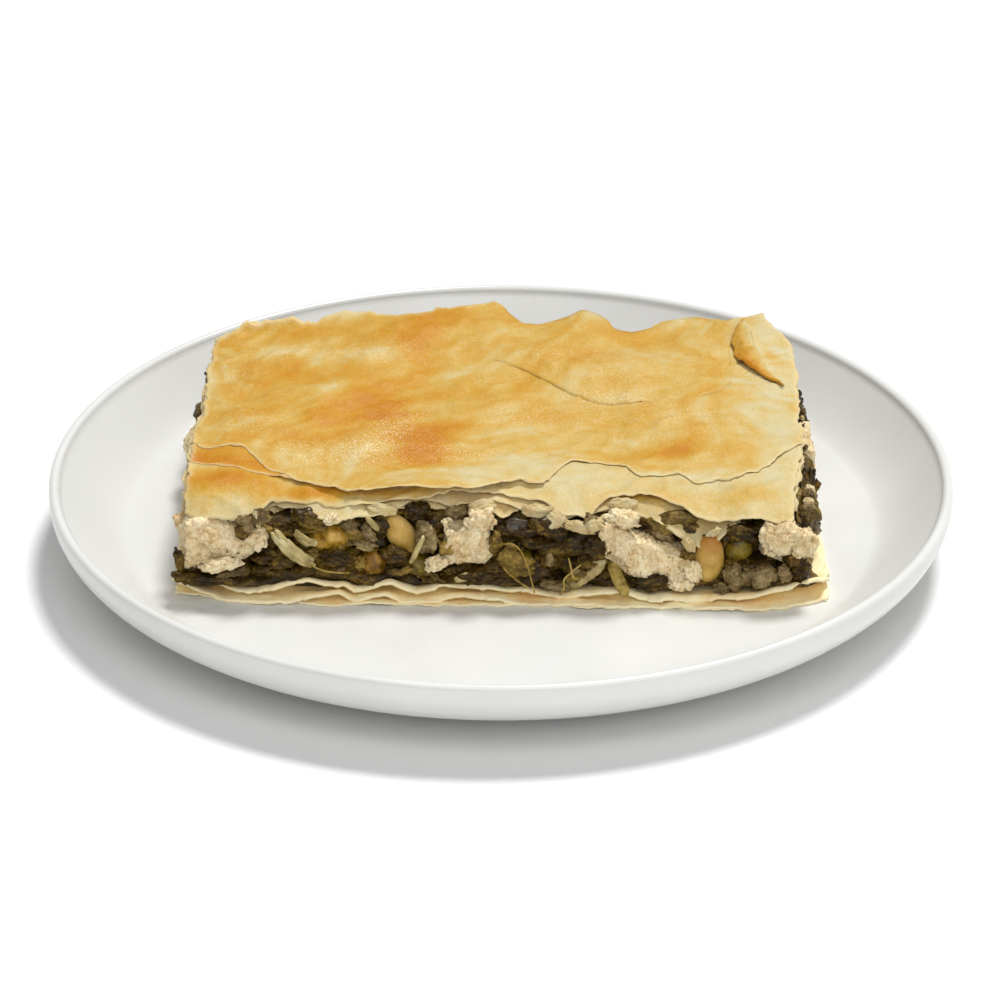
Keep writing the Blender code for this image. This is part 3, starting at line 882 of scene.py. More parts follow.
top_sheet = Sheet("top_sheet", 100, 0.0, [
    (-75, -7), (-72.5, -12), (-62, -14), (-57, -22), (-47, -31), (-40, -34), (-36, -36),
    (-28, -37), (-12, -38), (-5, -36), (4.5, -30), (10, -32), (16, -21), (28, -20), (33, -25),
    (42.5, -25), (47, -28), (54, -27), (62, -23), (69, -13), (73, -8)],
    BACK, SIDE_LEFT, SIDE_RIGHT, tear=1.2, flutter=0.35, bend=5, side_droop=0.3)
corner_sheet = Sheet("torn_corner_sheet", 140, 0.20, [
    (-76, -19), (-68, -22), (-60, -25), (-50, -29), (-44, -32), (-38, -34), (-28, -35.5),
    (-12, -36), (-5, -34), (4.5, -28), (16, -19), (28, -18), (44, -23), (54, -24), (62, -20),
    (73, -6)],
    set_back(BACK, 0.8), SIDE_LEFT, SIDE_RIGHT, above=top_sheet,
    tear=0.9, flutter=0.2, bend=7, side_droop=0.25, gap=0.17)
second_sheet = Sheet("second_sheet", 180, 0.26, [
    (-78, -36, 27.5), (-70, -40, 26.8), (-62, -40.5, 26.5), (-58, -39, 27.2), (-55, -35.5, 28.6),
    (-50, -35, 29.2), (-45, -37, 29.8), (-35, -38.5, 30.5), (-28, -38, 31), (-20, -37, 31.5),
    (-12, -36.5, 32), (-5, -35, 31.5), (4.5, -34.5, 30), (10, -37, 29.4), (14, -39, 28.4),
    (21, -41, 27.2), (23.4, -36, 29), (28, -33.5, 30), (33, -32.8, 31), (38, -35, 30),
    (43, -38, 29), (47, -40.6, 28), (50.4, -41.2, 27), (61, -41, 28), (66, -42, 27.5),
    (69, -41, 27.8), (73, -36, 29)],
    set_back(BACK, -0.4), set_back(SIDE_LEFT, 0.5), SECOND_RIGHT, above=corner_sheet, tear=1.1,
    flutter=0.6, bend=13, gap=0.17)
third_sheet = Sheet("third_sheet", 220, 1.3, [
    (-78, -33, 27.5), (-70, -36, 26), (-58, -34, 27), (-52, -35, 28.4), (-47.5, -36.6, 28.8),
    (-44, -40, 28), (-39.5, -43.3, 27), (-35.5, -42, 28), (-30, -40.5, 28.6), (-24, -38.5, 29),
    (-21.5, -36, 30.5), (-16, -36, 30), (-10, -37, 29.5), (-5, -36, 30), (0, -36, 29.5),
    (5, -37, 28.5), (10, -38.5, 27.5), (16, -39, 27), (22, -37, 27.5), (28, -35, 28),
    (33, -37, 27.6), (37, -39.4, 26.0), (41, -41.0, 24.2), (45, -42.0, 21.8), (48.5, -42.2, 20.8),
    (51.5, -42.0, 22.4), (54, -41.2, 25.0), (58, -38, 26.5), (66, -36, 26.5), (73, -34, 26.5)],
    set_back(BACK, 0.9), set_back(SIDE_LEFT, -0.7), set_back(SECOND_RIGHT, -0.3),
    above=second_sheet, tear=1.0, flutter=0.8, bend=11)
fourth_sheet = Sheet("fourth_sheet", 260, 2.2, [
    (-78, -31, 26.5), (-60, -33, 26.5), (-48, -35, 27.4), (-40, -38, 27.0), (-30, -37.5, 27.6),
    (-20, -37, 28.4), (-10, -36, 28), (0, -38.5, 27.6), (6, -36, 27.2), (20, -35, 27),
    (35, -34, 26.8), (50, -37, 25.4), (60, -36, 25.8), (73, -33, 26)],
    set_back(BACK, -0.6), set_back(SIDE_LEFT, 0.9), set_back(SECOND_RIGHT, 0.9),
    above=third_sheet, tear=1.8, flutter=1.5, bend=9, side_droop=0.8)
lowest_sheet = Sheet("lowest_top_sheet", 300, 2.8, [
    (-77, -33, 26.0), (-50, -34, 26.8), (-30, -35, 27.0), (-10, -35, 27.4), (10, -35, 26.6),
    (35, -33, 26.2), (60, -34, 25.2), (73, -32, 25.4)],
    set_back(BACK, 0.5), set_back(SIDE_LEFT, -0.2), set_back(SECOND_RIGHT, 0.2),
    above=fourth_sheet, tear=1.8, flutter=1.3, bend=8, side_droop=1.0)


def raised_surface(x, y):
    """The common surface, raised for the sheet that lies over its back right part."""
    return common_surface(x, y) + 0.34 * MM * ramp(x, -12 * MM, 6 * MM) - 0.15 * MM


upper_flap = Sheet("upper_flap", 340, 0.0, [
    (-9, 33), (6, 23), (17, 12), (26, 7.5), (39, 8), (48, 9.5), (54, 13), (59, 20)],
    set_back(BACK, 0.2), [(5, -9), (60, -9)], [(5, 54), (17, 56.5), (35, 57), (45, 58), (56, 58)],
    tear=0.4, flutter=0.2, bend=4, side_droop=0.2, surface=raised_surface)

# %% Filo
BAKED = ((0.0, (204, 192, 150)), (0.16, (204, 183, 126)), (0.34, (203, 168, 88)),
         (0.50, (199, 154, 60)), (0.68, (196, 141, 36)), (0.88, (192, 126, 18)),
         (1.0, (188, 118, 12)))
UNBAKED = ((0.0, (255, 239, 190)), (0.25, (252, 224, 152)), (0.6, (238, 190, 100)),
           (1.0, (206, 142, 52)))


def filo(name, stops=BAKED, stained=0.0, rim_light_colour=(234, 216, 168),
         stain_colour=(178, 124, 52)):
    """Baked dough, through its stops as its browned mark rises; painted highlight at torn edges.
    """
    dough = Finish(name, Specular_IOR_Level=0.12, Coat_Weight=0.0)
    clouds = dough.noise(11 * MM, 4, 0.55, distortion=0.4)
    mottle = dough.noise(2.6 * MM, 3, 0.6)
    grain = dough.noise(0.6 * MM, 3, 0.7)
    fine_specks = dough.noise(0.34 * MM, 1, 0.5)
    level = dough.mark("browned")
    for pattern, reach in ((clouds, 0.14), (mottle, 0.08), (grain, 0.14)):
        level = dough.math("ADD", level, dough.spread(pattern, 0.25, 0.75, -reach, reach))
    colour = dough.colours(level, *stops)
    if stained:
        stain = dough.spread(dough.noise(8 * MM, 3, 0.6), 0.42, 0.68, 0.0, stained)
        colour = dough.mix(stain, colour, stain_colour)
    # Painted highlight: the colour is lightened towards the torn edges.
    edge = dough.spread(dough.mark("edge"), 0.15, 0.9)
    colour = dough.mix(dough.math("MULTIPLY", edge, 0.6), colour, rim_light_colour)
    # Painted highlight: white specks, strongest in the painted glint ovals.
    glint_paint = dough.math("ADD", dough.math("MULTIPLY", dough.mark("shiny"), 0.62), 0.08)
    glint_paint = dough.math("MULTIPLY", dough.spread(fine_specks, 0.52, 0.66), glint_paint, clamp=True)
    colour = dough.mix(glint_paint, colour, (255, 239, 206))
    bubbles = dough.bumps(dough.cells(1.5 * MM), 0.12 * MM, 0.30)
    fine = dough.bumps(grain, 0.20 * MM, 0.6, bubbles)
    finest = dough.bumps(fine_specks, 0.10 * MM, 0.7, fine)
    return dough.finish(colour, dough.spread(grain, 0.3, 0.7, 0.30, 0.52), finest)


top_filo = filo("baked filo")
inner_filo = filo("inner filo", stained=0.5)

# %% Lay the top sheets
top_sheets = [
    top_sheet.make(top_filo, fine=0.62, coarse=0.75, base=0.45, thickness=0.13,
                   # its own place is painted shade: the dark slit beside the curled corner
                   own=[(67, 34, 1.5, 3.4, 25, 0.35)]),
    corner_sheet.make(top_filo, coarse=1.0, base=0.66, baked=0.2, thickness=0.12,
                      own=[(-60, -21, 16, 2.5, -12, 0.25), (-74, -18, 4, 3, 0, 0.3)]),
    second_sheet.make(top_filo, coarse=1.0, base=0.17, baked=0.2, thickness=0.14,
                      own=[(-67, -28, 14, 5, -4, 0.74), (-56, -31, 8, 4, -20, 0.12),
                           # (-44, -33.5) is painted shade: the hollow under the top sheet's edge
                           (-44, -33.5, 8, 2.6, 0, 0.7), (-24, -35, 10, 2, 0, 0.3),
                           (38, -36, 10, 4, 0, 0.12), (58, -34, 9, 3, 10, 0.16)]),
    third_sheet.make(inner_filo, coarse=3.5, base=0.08, baked=0.0,
                     # its own place is painted shade in the fold under the sheet above
                     own=[(36, -30, 16, 4, 0, 0.5)]),
    fourth_sheet.make(inner_filo, coarse=3.5, base=0.16, baked=0.0),
    lowest_sheet.make(inner_filo, coarse=3.5, base=0.2, baked=0.0),
    upper_flap.make(top_filo, fine=0.6, coarse=0.75, base=0.45, thickness=0.12, rim=0.2)]
for sheet in top_sheets:
    dress(sheet, "top_pastry", "top_crust")
    print(sheet.name, len(sheet.data.polygons), "faces")

# %% [markdown]
# ## The bottom crust
# The same kind of sheets lie under the filling, from the plate up. Each higher one
# stops a little further in, so the eye sees ledge after ledge, and their rims are
# ruffled where the slice was cut and lifted. These sheets are held above the one
# they lie on, where the top ones were held below.

# %% The bottom sheets
PLATE_GAP = 0.4 * MM
SHEET_GAP = 0.36 * MM
RIM_REACH = 4.5 * MM
SIDE_RIM_REACH = 4 * MM
TURNED_WIDTH = 1.5 * MM


def plate_surface(x, y):
    """The plate's upper face, with the little gap that the lowest sheet keeps."""
    return well_height(np.hypot(x, y)) + PLATE_GAP


class LowerSheet(Sheet):
    """A sheet of the bottom crust: it lies on the sheet below, and its rim only lifts."""

    def __init__(self, name, seed, lift, front, below, ruffle, sway, turn_down, **settings):
        self.below = below
        self.ruffle, self.sway, self.turn_down = ruffle * MM, sway * MM, turn_down * MM
        super().__init__(name, seed, -lift, front, surface=plate_surface, **settings)

    def front_at(self, x):
        sway = waves(x, 12, self.seed + 8)
        sway = sway + 0.3 * waves(x, 4, self.seed + 9)
        return super().front_at(x) + self.sway * sway

    def height(self, x, y):
        to_front = np.maximum(0, y - through(self.front, x, 1))
        rim = bump(to_front, RIM_REACH)
        sides = np.minimum(self.to_sides(x, y), through(self.back, x, 1) - y)
        rim_sides = bump(np.maximum(sides, 0), SIDE_RIM_REACH)
        wave = hills(x, y, 10, 30, self.seed + 5) * 1.5 + 0.2
        wave = wave + 0.4 * hills(x, y, 4, 9, self.seed + 6)
        side_wave = hills(x, y, 30, 13, self.seed + 7) * 1.2 + 0.25
        height = self.surface(x, y) - self.depth - through(self.front, x, 2) * rim
        height = height + self.ruffle * (rim * wave + 0.8 * rim_sides * side_wave)
        turned = 0.5 + 1.6 * np.maximum(0, waves(x, 8, self.seed + 12) + 0.15)
        own_edge = np.maximum(0, y - self.front_at(x))
        bent = np.clip(1 - own_edge / TURNED_WIDTH, 0, 1) ** 1.5
        height = height - self.turn_down * turned * bent
        if self.below is None:
            return np.maximum(height, self.surface(x, y))
        return np.maximum(height, self.below.height(x, y) + SHEET_GAP)


BASE_LEFT = [(-50, -77.5), (-20, -77.8), (10, -77.2), (40, -77.6), (56, -77.0)]
BASE_RIGHT = [(-50, 78.2), (-42, 78.2), (-30, 78.2), (-20, 77.9), (10, 77.9), (40, 77.2),
              (56, 77.0)]
BASE_BACK = [(-78, 52.8), (-50, 53.6), (-20, 52.9), (10, 53.8), (40, 53.0), (78, 53.4)]
BASE_FRONT = [(-79, -39.5), (-70, -42), (-60, -44.2), (-47, -45.2), (-25, -45.0), (0, -45.2),
              (15, -46.2), (30, -46.8), (47, -48.0), (60, -48.0), (68, -46.8), (74, -44.8),
              (79, -42.0)]


def base_front(inward, heights):
    """The bottom crust's front edge moved inward, at heights read from (x, height)."""
    spots, edge = np.array(heights, float), np.array(BASE_FRONT)
    places = sorted(set(spots[:, 0]) | set(edge[:, 0]))
    return [(x, float(np.interp(x, *edge.T)) + inward, float(np.interp(x, *spots.T)))
            for x in places]


FIRST_RIBBON = [(-80, 11.0), (-72.7, 9.2), (-67, 6.9), (-53, 6.5), (-48.7, 8.2), (-38.3, 10.0),
                (-35, 7.2), (-27.3, 9.5), (-22, 7.0), (-19.5, 7.3), (-9, 8.8), (0, 8.2),
                (5.3, 6.7), (16.9, 7.7), (22.2, 6.6), (31.2, 8.3), (38, 6.8), (41.3, 8.1),
                (50.3, 7.4), (59.9, 7.9), (66, 6.7), (79, 7.6)]
SECOND_RIBBON = [(-79, 12.6), (-70, 11.2), (-64, 9.8), (-52, 11.2), (-46, 12.7), (-37, 12.3),
                 (-34.5, 10.0), (-26, 11.8), (-20, 9.2), (-14, 11.4), (-8, 12.3), (0, 10.6),
                 (5, 10.4), (9, 9.0), (20, 9.4), (28, 10.4), (35, 8.8), (50, 9.6), (60, 10.2),
                 (68, 10.8), (75, 12.2), (79, 10.6)]
lower_sheets = []
for name, seed, lift, inward, ruffle, sway, turn_down, heights in (
        ("plate_sheet", 400, 0.0, 0.4, 0.5, 1.8, 0.0, [(-79, 6.9), (79, 7.0)]),
        ("first_ledge_sheet", 431, 0.8, 0.5, 0.7, 0.9, 0.7, FIRST_RIBBON),
        ("second_ledge_sheet", 462, 1.6, 1.9, 0.7, 0.7, 1.0, SECOND_RIBBON)):
    lower_sheets.append(LowerSheet(
        name, seed, lift, base_front(inward, heights),
        lower_sheets[-1] if lower_sheets else None, ruffle, sway, turn_down,
        back=set_back(BASE_BACK, 0.5 * inward), left=set_back(BASE_LEFT, -0.4 * inward),
        right=set_back(BASE_RIGHT, 0.4 * inward), tear=0.9 + 0.15 * inward))

bottom_filo = filo("pale filo", UNBAKED, stained=0.5, rim_light_colour=(255, 245, 206),
                   stain_colour=(242, 186, 98))
for sheet in lower_sheets:
    piece = sheet.make(bottom_filo, fine=0.45, coarse=4.0, base=0.03, baked=0.0,
                       thickness=0.4 if sheet.below is None else 0.75)
    dress(piece, "bottom_pastry", "bottom_crust")
    print(piece.name, len(piece.data.polygons), "faces")

# %% [markdown]
# ## The spinach
# The filling is cooked spinach, packed in folded dark layers. Its core is one closed
# body: a wall of points round the slice, pushed in and out so that it looks like
# strata of folded leaf, with hidden lids. It stays a little inside the cut face, to
# leave room for the scraps and lumps that stand out of it.

# %% The slice's cut sides
SLICE = {"x": 75 * MM, "front": -41.5 * MM, "back": 52.5 * MM, "low": 9.6 * MM}
MIDDLE_Y = 5.5
MIDDLE_HEIGHT = 20.5
CORNER = 3 * MM
LEAN = 0.17
RIGHT_BULGE = 1.2 * MM
CORE_INSET = 2.2 * MM
HIGHEST_FILLING = 34.5 * MM
FILLING_GAP = 0.9 * MM


def cut_face(along, height, out=0.0):
    """The place on the slice's cut sides: share along its rim from 0 to 1, and height.

    The rim has eight legs: the front side, its right corner, the right side, and so on.
    """
    lean = (MIDDLE_HEIGHT * MM - height) * LEAN
    half_x, half_y = SLICE["x"], (SLICE["back"] - SLICE["front"]) / 2
    middle_y = (SLICE["back"] + SLICE["front"]) / 2
    straight_x, straight_y = half_x - CORNER, half_y - CORNER
    quarter = CORNER * math.pi / 2
    lengths = [2 * straight_x, quarter, 2 * straight_y, quarter] * 2
    ends = np.cumsum([0] + lengths)
    at = np.asarray(along) * ends[-1]
    leg = np.clip(np.searchsorted(ends, at, side="right") - 1, 0, 7)
    share = (at - ends[leg]) / np.array(lengths)[leg]
    side, in_corner = leg // 2, leg % 2 == 1
    turn = np.radians(90 * side - 90 + np.where(in_corner, 90 * share, 0))
    share = np.where(in_corner, 1, share)
    corner_x = np.array([-straight_x, straight_x, straight_x, -straight_x, -straight_x])
    corner_y = np.array([-straight_y, -straight_y, straight_y, straight_y, -straight_y])
    inner_x, inner_y = (corner[side] + (corner[side + 1] - corner[side]) * share
                        for corner in (corner_x, corner_y))
    reach = CORNER + lean + out
    x, y = inner_x + reach * np.cos(turn), middle_y + inner_y + reach * np.sin(turn)
    near_back = ramp(y, 38 * MM, 51 * MM)
    near_front = ramp(-y, 16 * MM, 34 * MM)
    bulge = RIGHT_BULGE * (1 - ramp(y, 20 * MM, 40 * MM))
    bulge = bulge - 6 * MM * near_back - 2.4 * MM * near_front
    x = x + ramp(x, 60 * MM, 74 * MM) * bulge
    return x, y - 5 * MM * near_back * ramp(-x, 54 * MM, 74 * MM)

# %% The filling's core
def filling_top(x, y):
    """Where the filling meets the top crust."""
    return np.minimum(lowest_sheet.height(x, y) - FILLING_GAP, HIGHEST_FILLING)


def strata(x, y, z, seed=600):
    """Folded layers: -1 to 1, long sideways and thin upwards, bent by slow noise."""
    bend = 2.2 * MM * hills(x, y, 15, 15, seed)
    bend = bend + 0.9 * MM * noise(x / (5 * MM), y / (5 * MM), z / (9 * MM), seed + 1)
    layer = noise(x / (13 * MM), y / (13 * MM), (z + bend) / (2.3 * MM), seed + 2)
    thin = noise(x / (6 * MM), y / (6 * MM), (z + bend) / (1.0 * MM), seed + 3)
    return np.clip(1.5 * layer, -1, 1) * 0.75 + 0.35 * thin


def nodes_of(*kinds):
    """The frame's nodes whose names start with one of the kinds, in order."""
    return sorted(name for name in frame["nodes"] if name.startswith(kinds))


def middle_and_size(node):
    """The middle of a node's box, and its size."""
    low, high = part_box(node)
    return np.array(low + high) / 2, np.array(high - low)


LUMPS = [middle_and_size(node) for node in nodes_of("tofu", "chickpea", "pine_nut", "onion")]


def near_lumps(x, y, z, margin):
    """1 inside the box round a lump, pea, nut or sliver, falling to 0 at its margin."""
    share = np.zeros(np.broadcast(x, y, z).shape)
    for middle, size in LUMPS:
        away = [np.abs(a - m) / (s / 2 + margin) for a, m, s in zip((x, y, z), middle, size)]
        reach = np.sqrt(away[0] ** 2 + 0.3 * away[1] ** 2 + away[2] ** 2)
        share = np.maximum(share, 1 - ramp(reach, 0.75, 1.05))
    return share


def filling_core(material, around=880, up=44, rings=7):
    """The core: rows of points round the wall, and rings that close in on each lid."""
    along = np.linspace(0, 1, around, endpoint=False)
    wall = []
    for share in np.linspace(0, 1, up):
        x, y = cut_face(along, MIDDLE_HEIGHT * MM)
        low = SLICE["low"] + 0 * x
        z = low + (filling_top(x, y) - low) * share
        x, y = cut_face(along, z, -CORE_INSET)
        push = strata(x, y, z) * 1.5 * MM - 0.5 * MM
        push = push + 0.35 * MM * rough(x / (2.2 * MM), y / (2.2 * MM), z / (1.6 * MM), 620, 2)
        push = push - 2.0 * MM * near_lumps(x, y, z, 0.8 * MM)
        x, y = cut_face(along, z, -CORE_INSET + push)
        wall.append((x, y, z + 0.25 * MM * noise(x / (2 * MM), y / (2 * MM), z / (2 * MM), 630)))

    def ring(row, share, top):
        x, y, z = row
        inner_x, inner_y = x * share, MIDDLE_Y * MM + (y - MIDDLE_Y * MM) * share
        return inner_x, inner_y, (filling_top(inner_x, inner_y) if top else z)

    shares = np.linspace(1, 0.04, rings + 1)[1:]
    rows = [ring(wall[0], share, False) for share in shares[::-1]] + wall
    rows += [ring(wall[-1], share, True) for share in shares]
    index, starts = np.arange(around), around * np.arange(len(rows))
    following = (index + 1) % around
    faces = np.concatenate([np.stack([low + index, low + following, high + following,
                                      high + index], axis=1)
                            for low, high in zip(starts, starts[1:])]).tolist()
    faces += [index[::-1].tolist(), (starts[-1] + index).tolist()]
    points = np.concatenate([as_rows(*row) for row in rows])
    return new_piece("spinach_core", points, faces, material)

# %% Cooked spinach
def cooked_leaf(name, dark, middle, light, shine=0.08):
    """Wet cooked leaf: nearly black green to olive brown, in layers, with a broken sheen."""
    leaf = Finish(name, Specular_IOR_Level=0.15, Coat_Weight=shine, Coat_Roughness=0.12)
    layers = leaf.noise(1.6 * MM, 4, 0.6, leaf.stretched(0.35, 0.35, 1.0), 0.8)
    patches = leaf.noise(9 * MM, 3, 0.55)
    specks = leaf.noise(0.8 * MM, 3, 0.7)
    value = leaf.average(layers, patches)
    value = leaf.math("ADD", value, leaf.spread(specks, 0.3, 0.7, -0.08, 0.08))
    colour = leaf.colours(value, (0.38, dark), (0.50, middle), (0.64, light))
    veins = leaf.bumps(layers, 0.4 * MM, 0.5)
    wrinkles = leaf.bumps(specks, 0.14 * MM, 0.5, veins)
    return leaf.finish(colour, leaf.spread(patches, 0.3, 0.7, 0.34, 0.62), wrinkles)


dark_leaf = cooked_leaf("dark cooked leaf", (30, 21, 3), (62, 45, 10), (128, 100, 38), 0.10)
brown_leaf = cooked_leaf("brown cooked leaf", (54, 38, 10), (100, 78, 28),
                         (158, 132, 70), 0.12)
core = dress(filling_core(dark_leaf), "spinach", "spinach_filling")
print("the core has", len(core.data.polygons), "faces and fills", volume(core), "cm3")

# %% [markdown]
# ## Scraps of leaf, stalk and onion
# A few scraps are made one by one: a grid is bent, crumpled and given thickness. Then
# Geometry Nodes strew them over a wall that follows the cut sides, turned every way,
# larger and smaller, and join them into one piece of each kind.

# %% Scraps
def settled(piece):
    """The piece with its modifiers turned into plain mesh."""
    graph = bpy.context.evaluated_depsgraph_get()
    mesh = bpy.data.meshes.new_from_object(piece.evaluated_get(graph))
    name = piece.name
    bpy.data.objects.remove(piece)
    return in_scene(name, mesh)


def scrap(name, material, seed, length, width, curl, crumple, thickness, columns=13, rows=8):
    """A torn, curled scrap about length long, in the middle of its own axes."""
    u, v = np.meshgrid(np.linspace(-1, 1, columns), np.linspace(-1, 1, rows))
    ragged = 1 + 0.28 * noise(u * 2.2, v * 2.2, seed, seed) - 0.25 * u ** 4 * v ** 2
    x = u * length / 2 * MM * (1 - 0.25 * v * v) * ragged
    y = v * width / 2 * MM * (1 - 0.45 * u * u) * ragged
    z = curl * MM * (u * u - 0.4 + 0.6 * v * v)
    z = z + crumple * MM * rough(u * 1.6, v * 1.6, seed, seed + 7, 3)
    z = z + 0.5 * crumple * MM * np.sin(v * 3.5 + u * 2 + seed)
    piece = new_piece(name, as_rows(x, y, z), grid_faces(columns, rows), material)
    return settled(thicken(piece, thickness))

# %% A ball, and a wall to strew on
def ball(levels):
    """A ball's points, at distance 1, and its faces."""
    bm = bmesh.new()
    bmesh.ops.create_icosphere(bm, subdivisions=levels, radius=1.0)
    bm.verts.index_update()
    points = np.array([vertex.co[:] for vertex in bm.verts])
    faces = np.array([[vertex.index for vertex in face.verts] for face in bm.faces])
    bm.free()
    return points, faces


def wall_of_slice(low, high, out, around=400, up=14):
    """A bare wall along the cut sides, for scraps to be strewn on. It isn't kept.

    A strip on top belongs to it, where the top crust stops short of the right side.
    Its share mark says how many scraps a place may get: none in front of the lumps.
    """
    along = np.linspace(0.0, 1.0, around)
    rows = []
    for z in np.linspace(low, high, up):
        x, y = cut_face(along % 1.0, np.full(around, z), out)
        rows.append(as_rows(x, y, np.full(around, z)))
    places = np.concatenate(rows)
    strip_x, strip_y = np.meshgrid(np.linspace(70.5, 74.5, 5) * MM,
                                   np.linspace(-38, -16, 12) * MM)
    strip = as_rows(strip_x, strip_y, filling_top(strip_x, strip_y) - 0.6 * MM)
    faces = np.concatenate([grid_faces(around, up), grid_faces(5, 12) + len(places)])
    share = np.concatenate([1 - near_lumps(*places.T, 0.0), np.ones(len(strip))])
    return in_scene("wall", mesh_of("wall", np.concatenate([places, strip]), faces, share=share))

# %% Strewing
def strew(name, wall, scraps, density, seed, small, large, material, tilt):
    """Scatters the scraps over the wall and returns them as one mesh; the scraps go."""
    kinds = bpy.data.collections.new(name + " kinds")
    for piece in scraps:
        scene.collection.objects.unlink(piece)
        kinds.objects.link(piece)
    recipe = Recipe("strewn " + name, Kinds=kinds, Density=float(density), Seed=seed,
                    Smallest=float(small), Largest=float(large), Finish=material)
    share = recipe.add("GeometryNodeInputNamedAttribute", {"data_type": "FLOAT"}, Name="share")
    density = recipe.math("MULTIPLY", recipe.input("Density"), share.outputs["Attribute"])
    spots = recipe.add("GeometryNodeDistributePointsOnFaces", Mesh=recipe.input("Geometry"),
                       Density=density, Seed=recipe.input("Seed"))
    picked = recipe.add("GeometryNodeCollectionInfo", Collection=recipe.input("Kinds"),
                        Separate_Children=True, Reset_Children=True)
    turn = recipe.add("FunctionNodeRandomValue", {"data_type": "FLOAT_VECTOR"})
    angles = [math.radians(a) for a in tilt]
    turn.inputs[0].default_value = [-a for a in angles]
    turn.inputs[1].default_value = angles
    recipe.feed(turn.inputs["Seed"], recipe.input("Seed"))
    spin = recipe.add("FunctionNodeEulerToRotation", Euler=turn.outputs[0])
    turned = recipe.add("FunctionNodeRotateRotation", {"rotation_space": "LOCAL"},
                        Rotation=spots.outputs["Rotation"], Rotate_By=spin.outputs["Rotation"])
    size = recipe.add("FunctionNodeRandomValue", {"data_type": "FLOAT"})
    recipe.feed(size.inputs[2], recipe.input("Smallest"))
    recipe.feed(size.inputs[3], recipe.input("Largest"))
    recipe.feed(size.inputs["Seed"], recipe.math("ADD", recipe.input("Seed"), 1))
    placed = recipe.add("GeometryNodeInstanceOnPoints", Points=spots.outputs["Points"],
                        Instance=picked.outputs["Instances"], Pick_Instance=True,
                        Rotation=turned.outputs["Rotation"], Scale=size.outputs[1])
    real = recipe.add("GeometryNodeRealizeInstances", Geometry=placed.outputs["Instances"])
    painted = recipe.add("GeometryNodeSetMaterial", Geometry=real.outputs["Geometry"],
                         Material=recipe.input("Finish"))
    recipe.feed(recipe.result.inputs[0], painted.outputs["Geometry"])
    result = recipe.run(name, wall)
    for piece in scraps:
        bpy.data.objects.remove(piece)
    bpy.data.collections.remove(kinds)
    print(name, "has", len(result.data.polygons), "faces")
    return result

# %% Folded leaves
SAVED_BY_CORNERS = 5 * MM
RIM = 2 * (SLICE["back"] - SLICE["front"]) + 4 * SLICE["x"] - SAVED_BY_CORNERS
FOLD_THICKNESS = 0.3


def along_front(x):
    """The share along the cut sides of a place on the front one, x in mm."""
    return (x * MM + SLICE["x"] - CORNER) / RIM


def leaf_fold(start, length, height, width, bulge, rise, seed):
    """Points of a fold of leaf that lies along the cut sides, and its rows and columns.

    start is a share along the rim, and the rest is in mm: rise is how much higher its
    far end is. The fold bellies out in its middle and tapers at both ends.
    """
    columns, rows = max(10, int(length / 0.7)), 9
    s, t = np.meshgrid(np.linspace(0, 1, columns), np.linspace(-1, 1, rows))
    along = (start + s * length * MM / RIM) % 1.0
    slow = noise(s * length / 7, seed, 0.5, seed)
    taper = np.sqrt(np.clip(np.sin(np.pi * (0.02 + 0.96 * s)), 0, 1))
    z = height + rise * (s - 0.5) + 1.1 * slow + t * width / 2 * taper * (1 + 0.3 * slow)
    z = z + 0.5 * noise(s * length / 2.2, t, 0.5, seed + 1)
    belly = bulge * taper * np.cos(t * 1.35 + 0.35)
    belly = belly * (1 + 0.4 * noise(s * length / 4, t, 0.5, seed + 2))
    pleats = 0.28 * np.sin(t * 7 + 3 * slow + s * length * 0.25) * taper
    out = -2.9 + belly + pleats + 0.25 * rough(s * length / 1.6, t * width / 2, seed, seed + 3, 2)
    z = np.clip(z, 10.8, 27.8) * MM
    x, y = cut_face(along, z, out * MM)
    behind = near_lumps(x, y, z, 0.6 * MM)
    x, y = cut_face(along, z, (out - 2.4 * behind) * MM)
    return as_rows(x, y, z), grid_faces(columns, rows)


def leaf_folds(name, folds, material):
    """All the folds of one kind of leaf as one piece with thickness."""
    piece = gathered(name, material, [leaf_fold(*fold) for fold in folds])
    return dress(settled(thicken(piece, FOLD_THICKNESS, 0)), "spinach", "spinach_filling")


def many_folds(count, seed):
    """Folds of every length all round the slice, the same ones on every run."""
    dice = np.random.default_rng(seed)
    reaches = ((0, 1), (7, 26), (11.5, 27), (2.2, 5.6), (1.4, 3.4), (-3, 3))
    return [(*(dice.uniform(*reach) for reach in reaches), seed + k) for k in range(count)]


DARK_FOLDS = [(along_front(8), 21, 20.5, 9.0, 3.2, 1.5, 11),
              (along_front(9), 15, 15.5, 6.0, 3.4, -1, 12),
              (along_front(-79), 30, 11.8, 3.0, 3.4, 0.5, 13),
              (along_front(-46), 26, 13.6, 3.0, 3.0, -1, 14),
              (along_front(-4), 16, 24.6, 4.4, 3.4, 1, 15),
              (along_front(34), 16, 12.6, 3.4, 3.0, 0.5, 16),
              (along_front(46), 24, 13.4, 4.4, 3.2, 0, 17),
              (along_front(-20), 26, 12.2, 2.8, 3.0, 0.5, 18)]
leaf_folds("dark_leaf_folds", DARK_FOLDS + many_folds(120, 1000), dark_leaf)
leaf_folds("brown_leaf_folds", many_folds(46, 1200), brown_leaf)

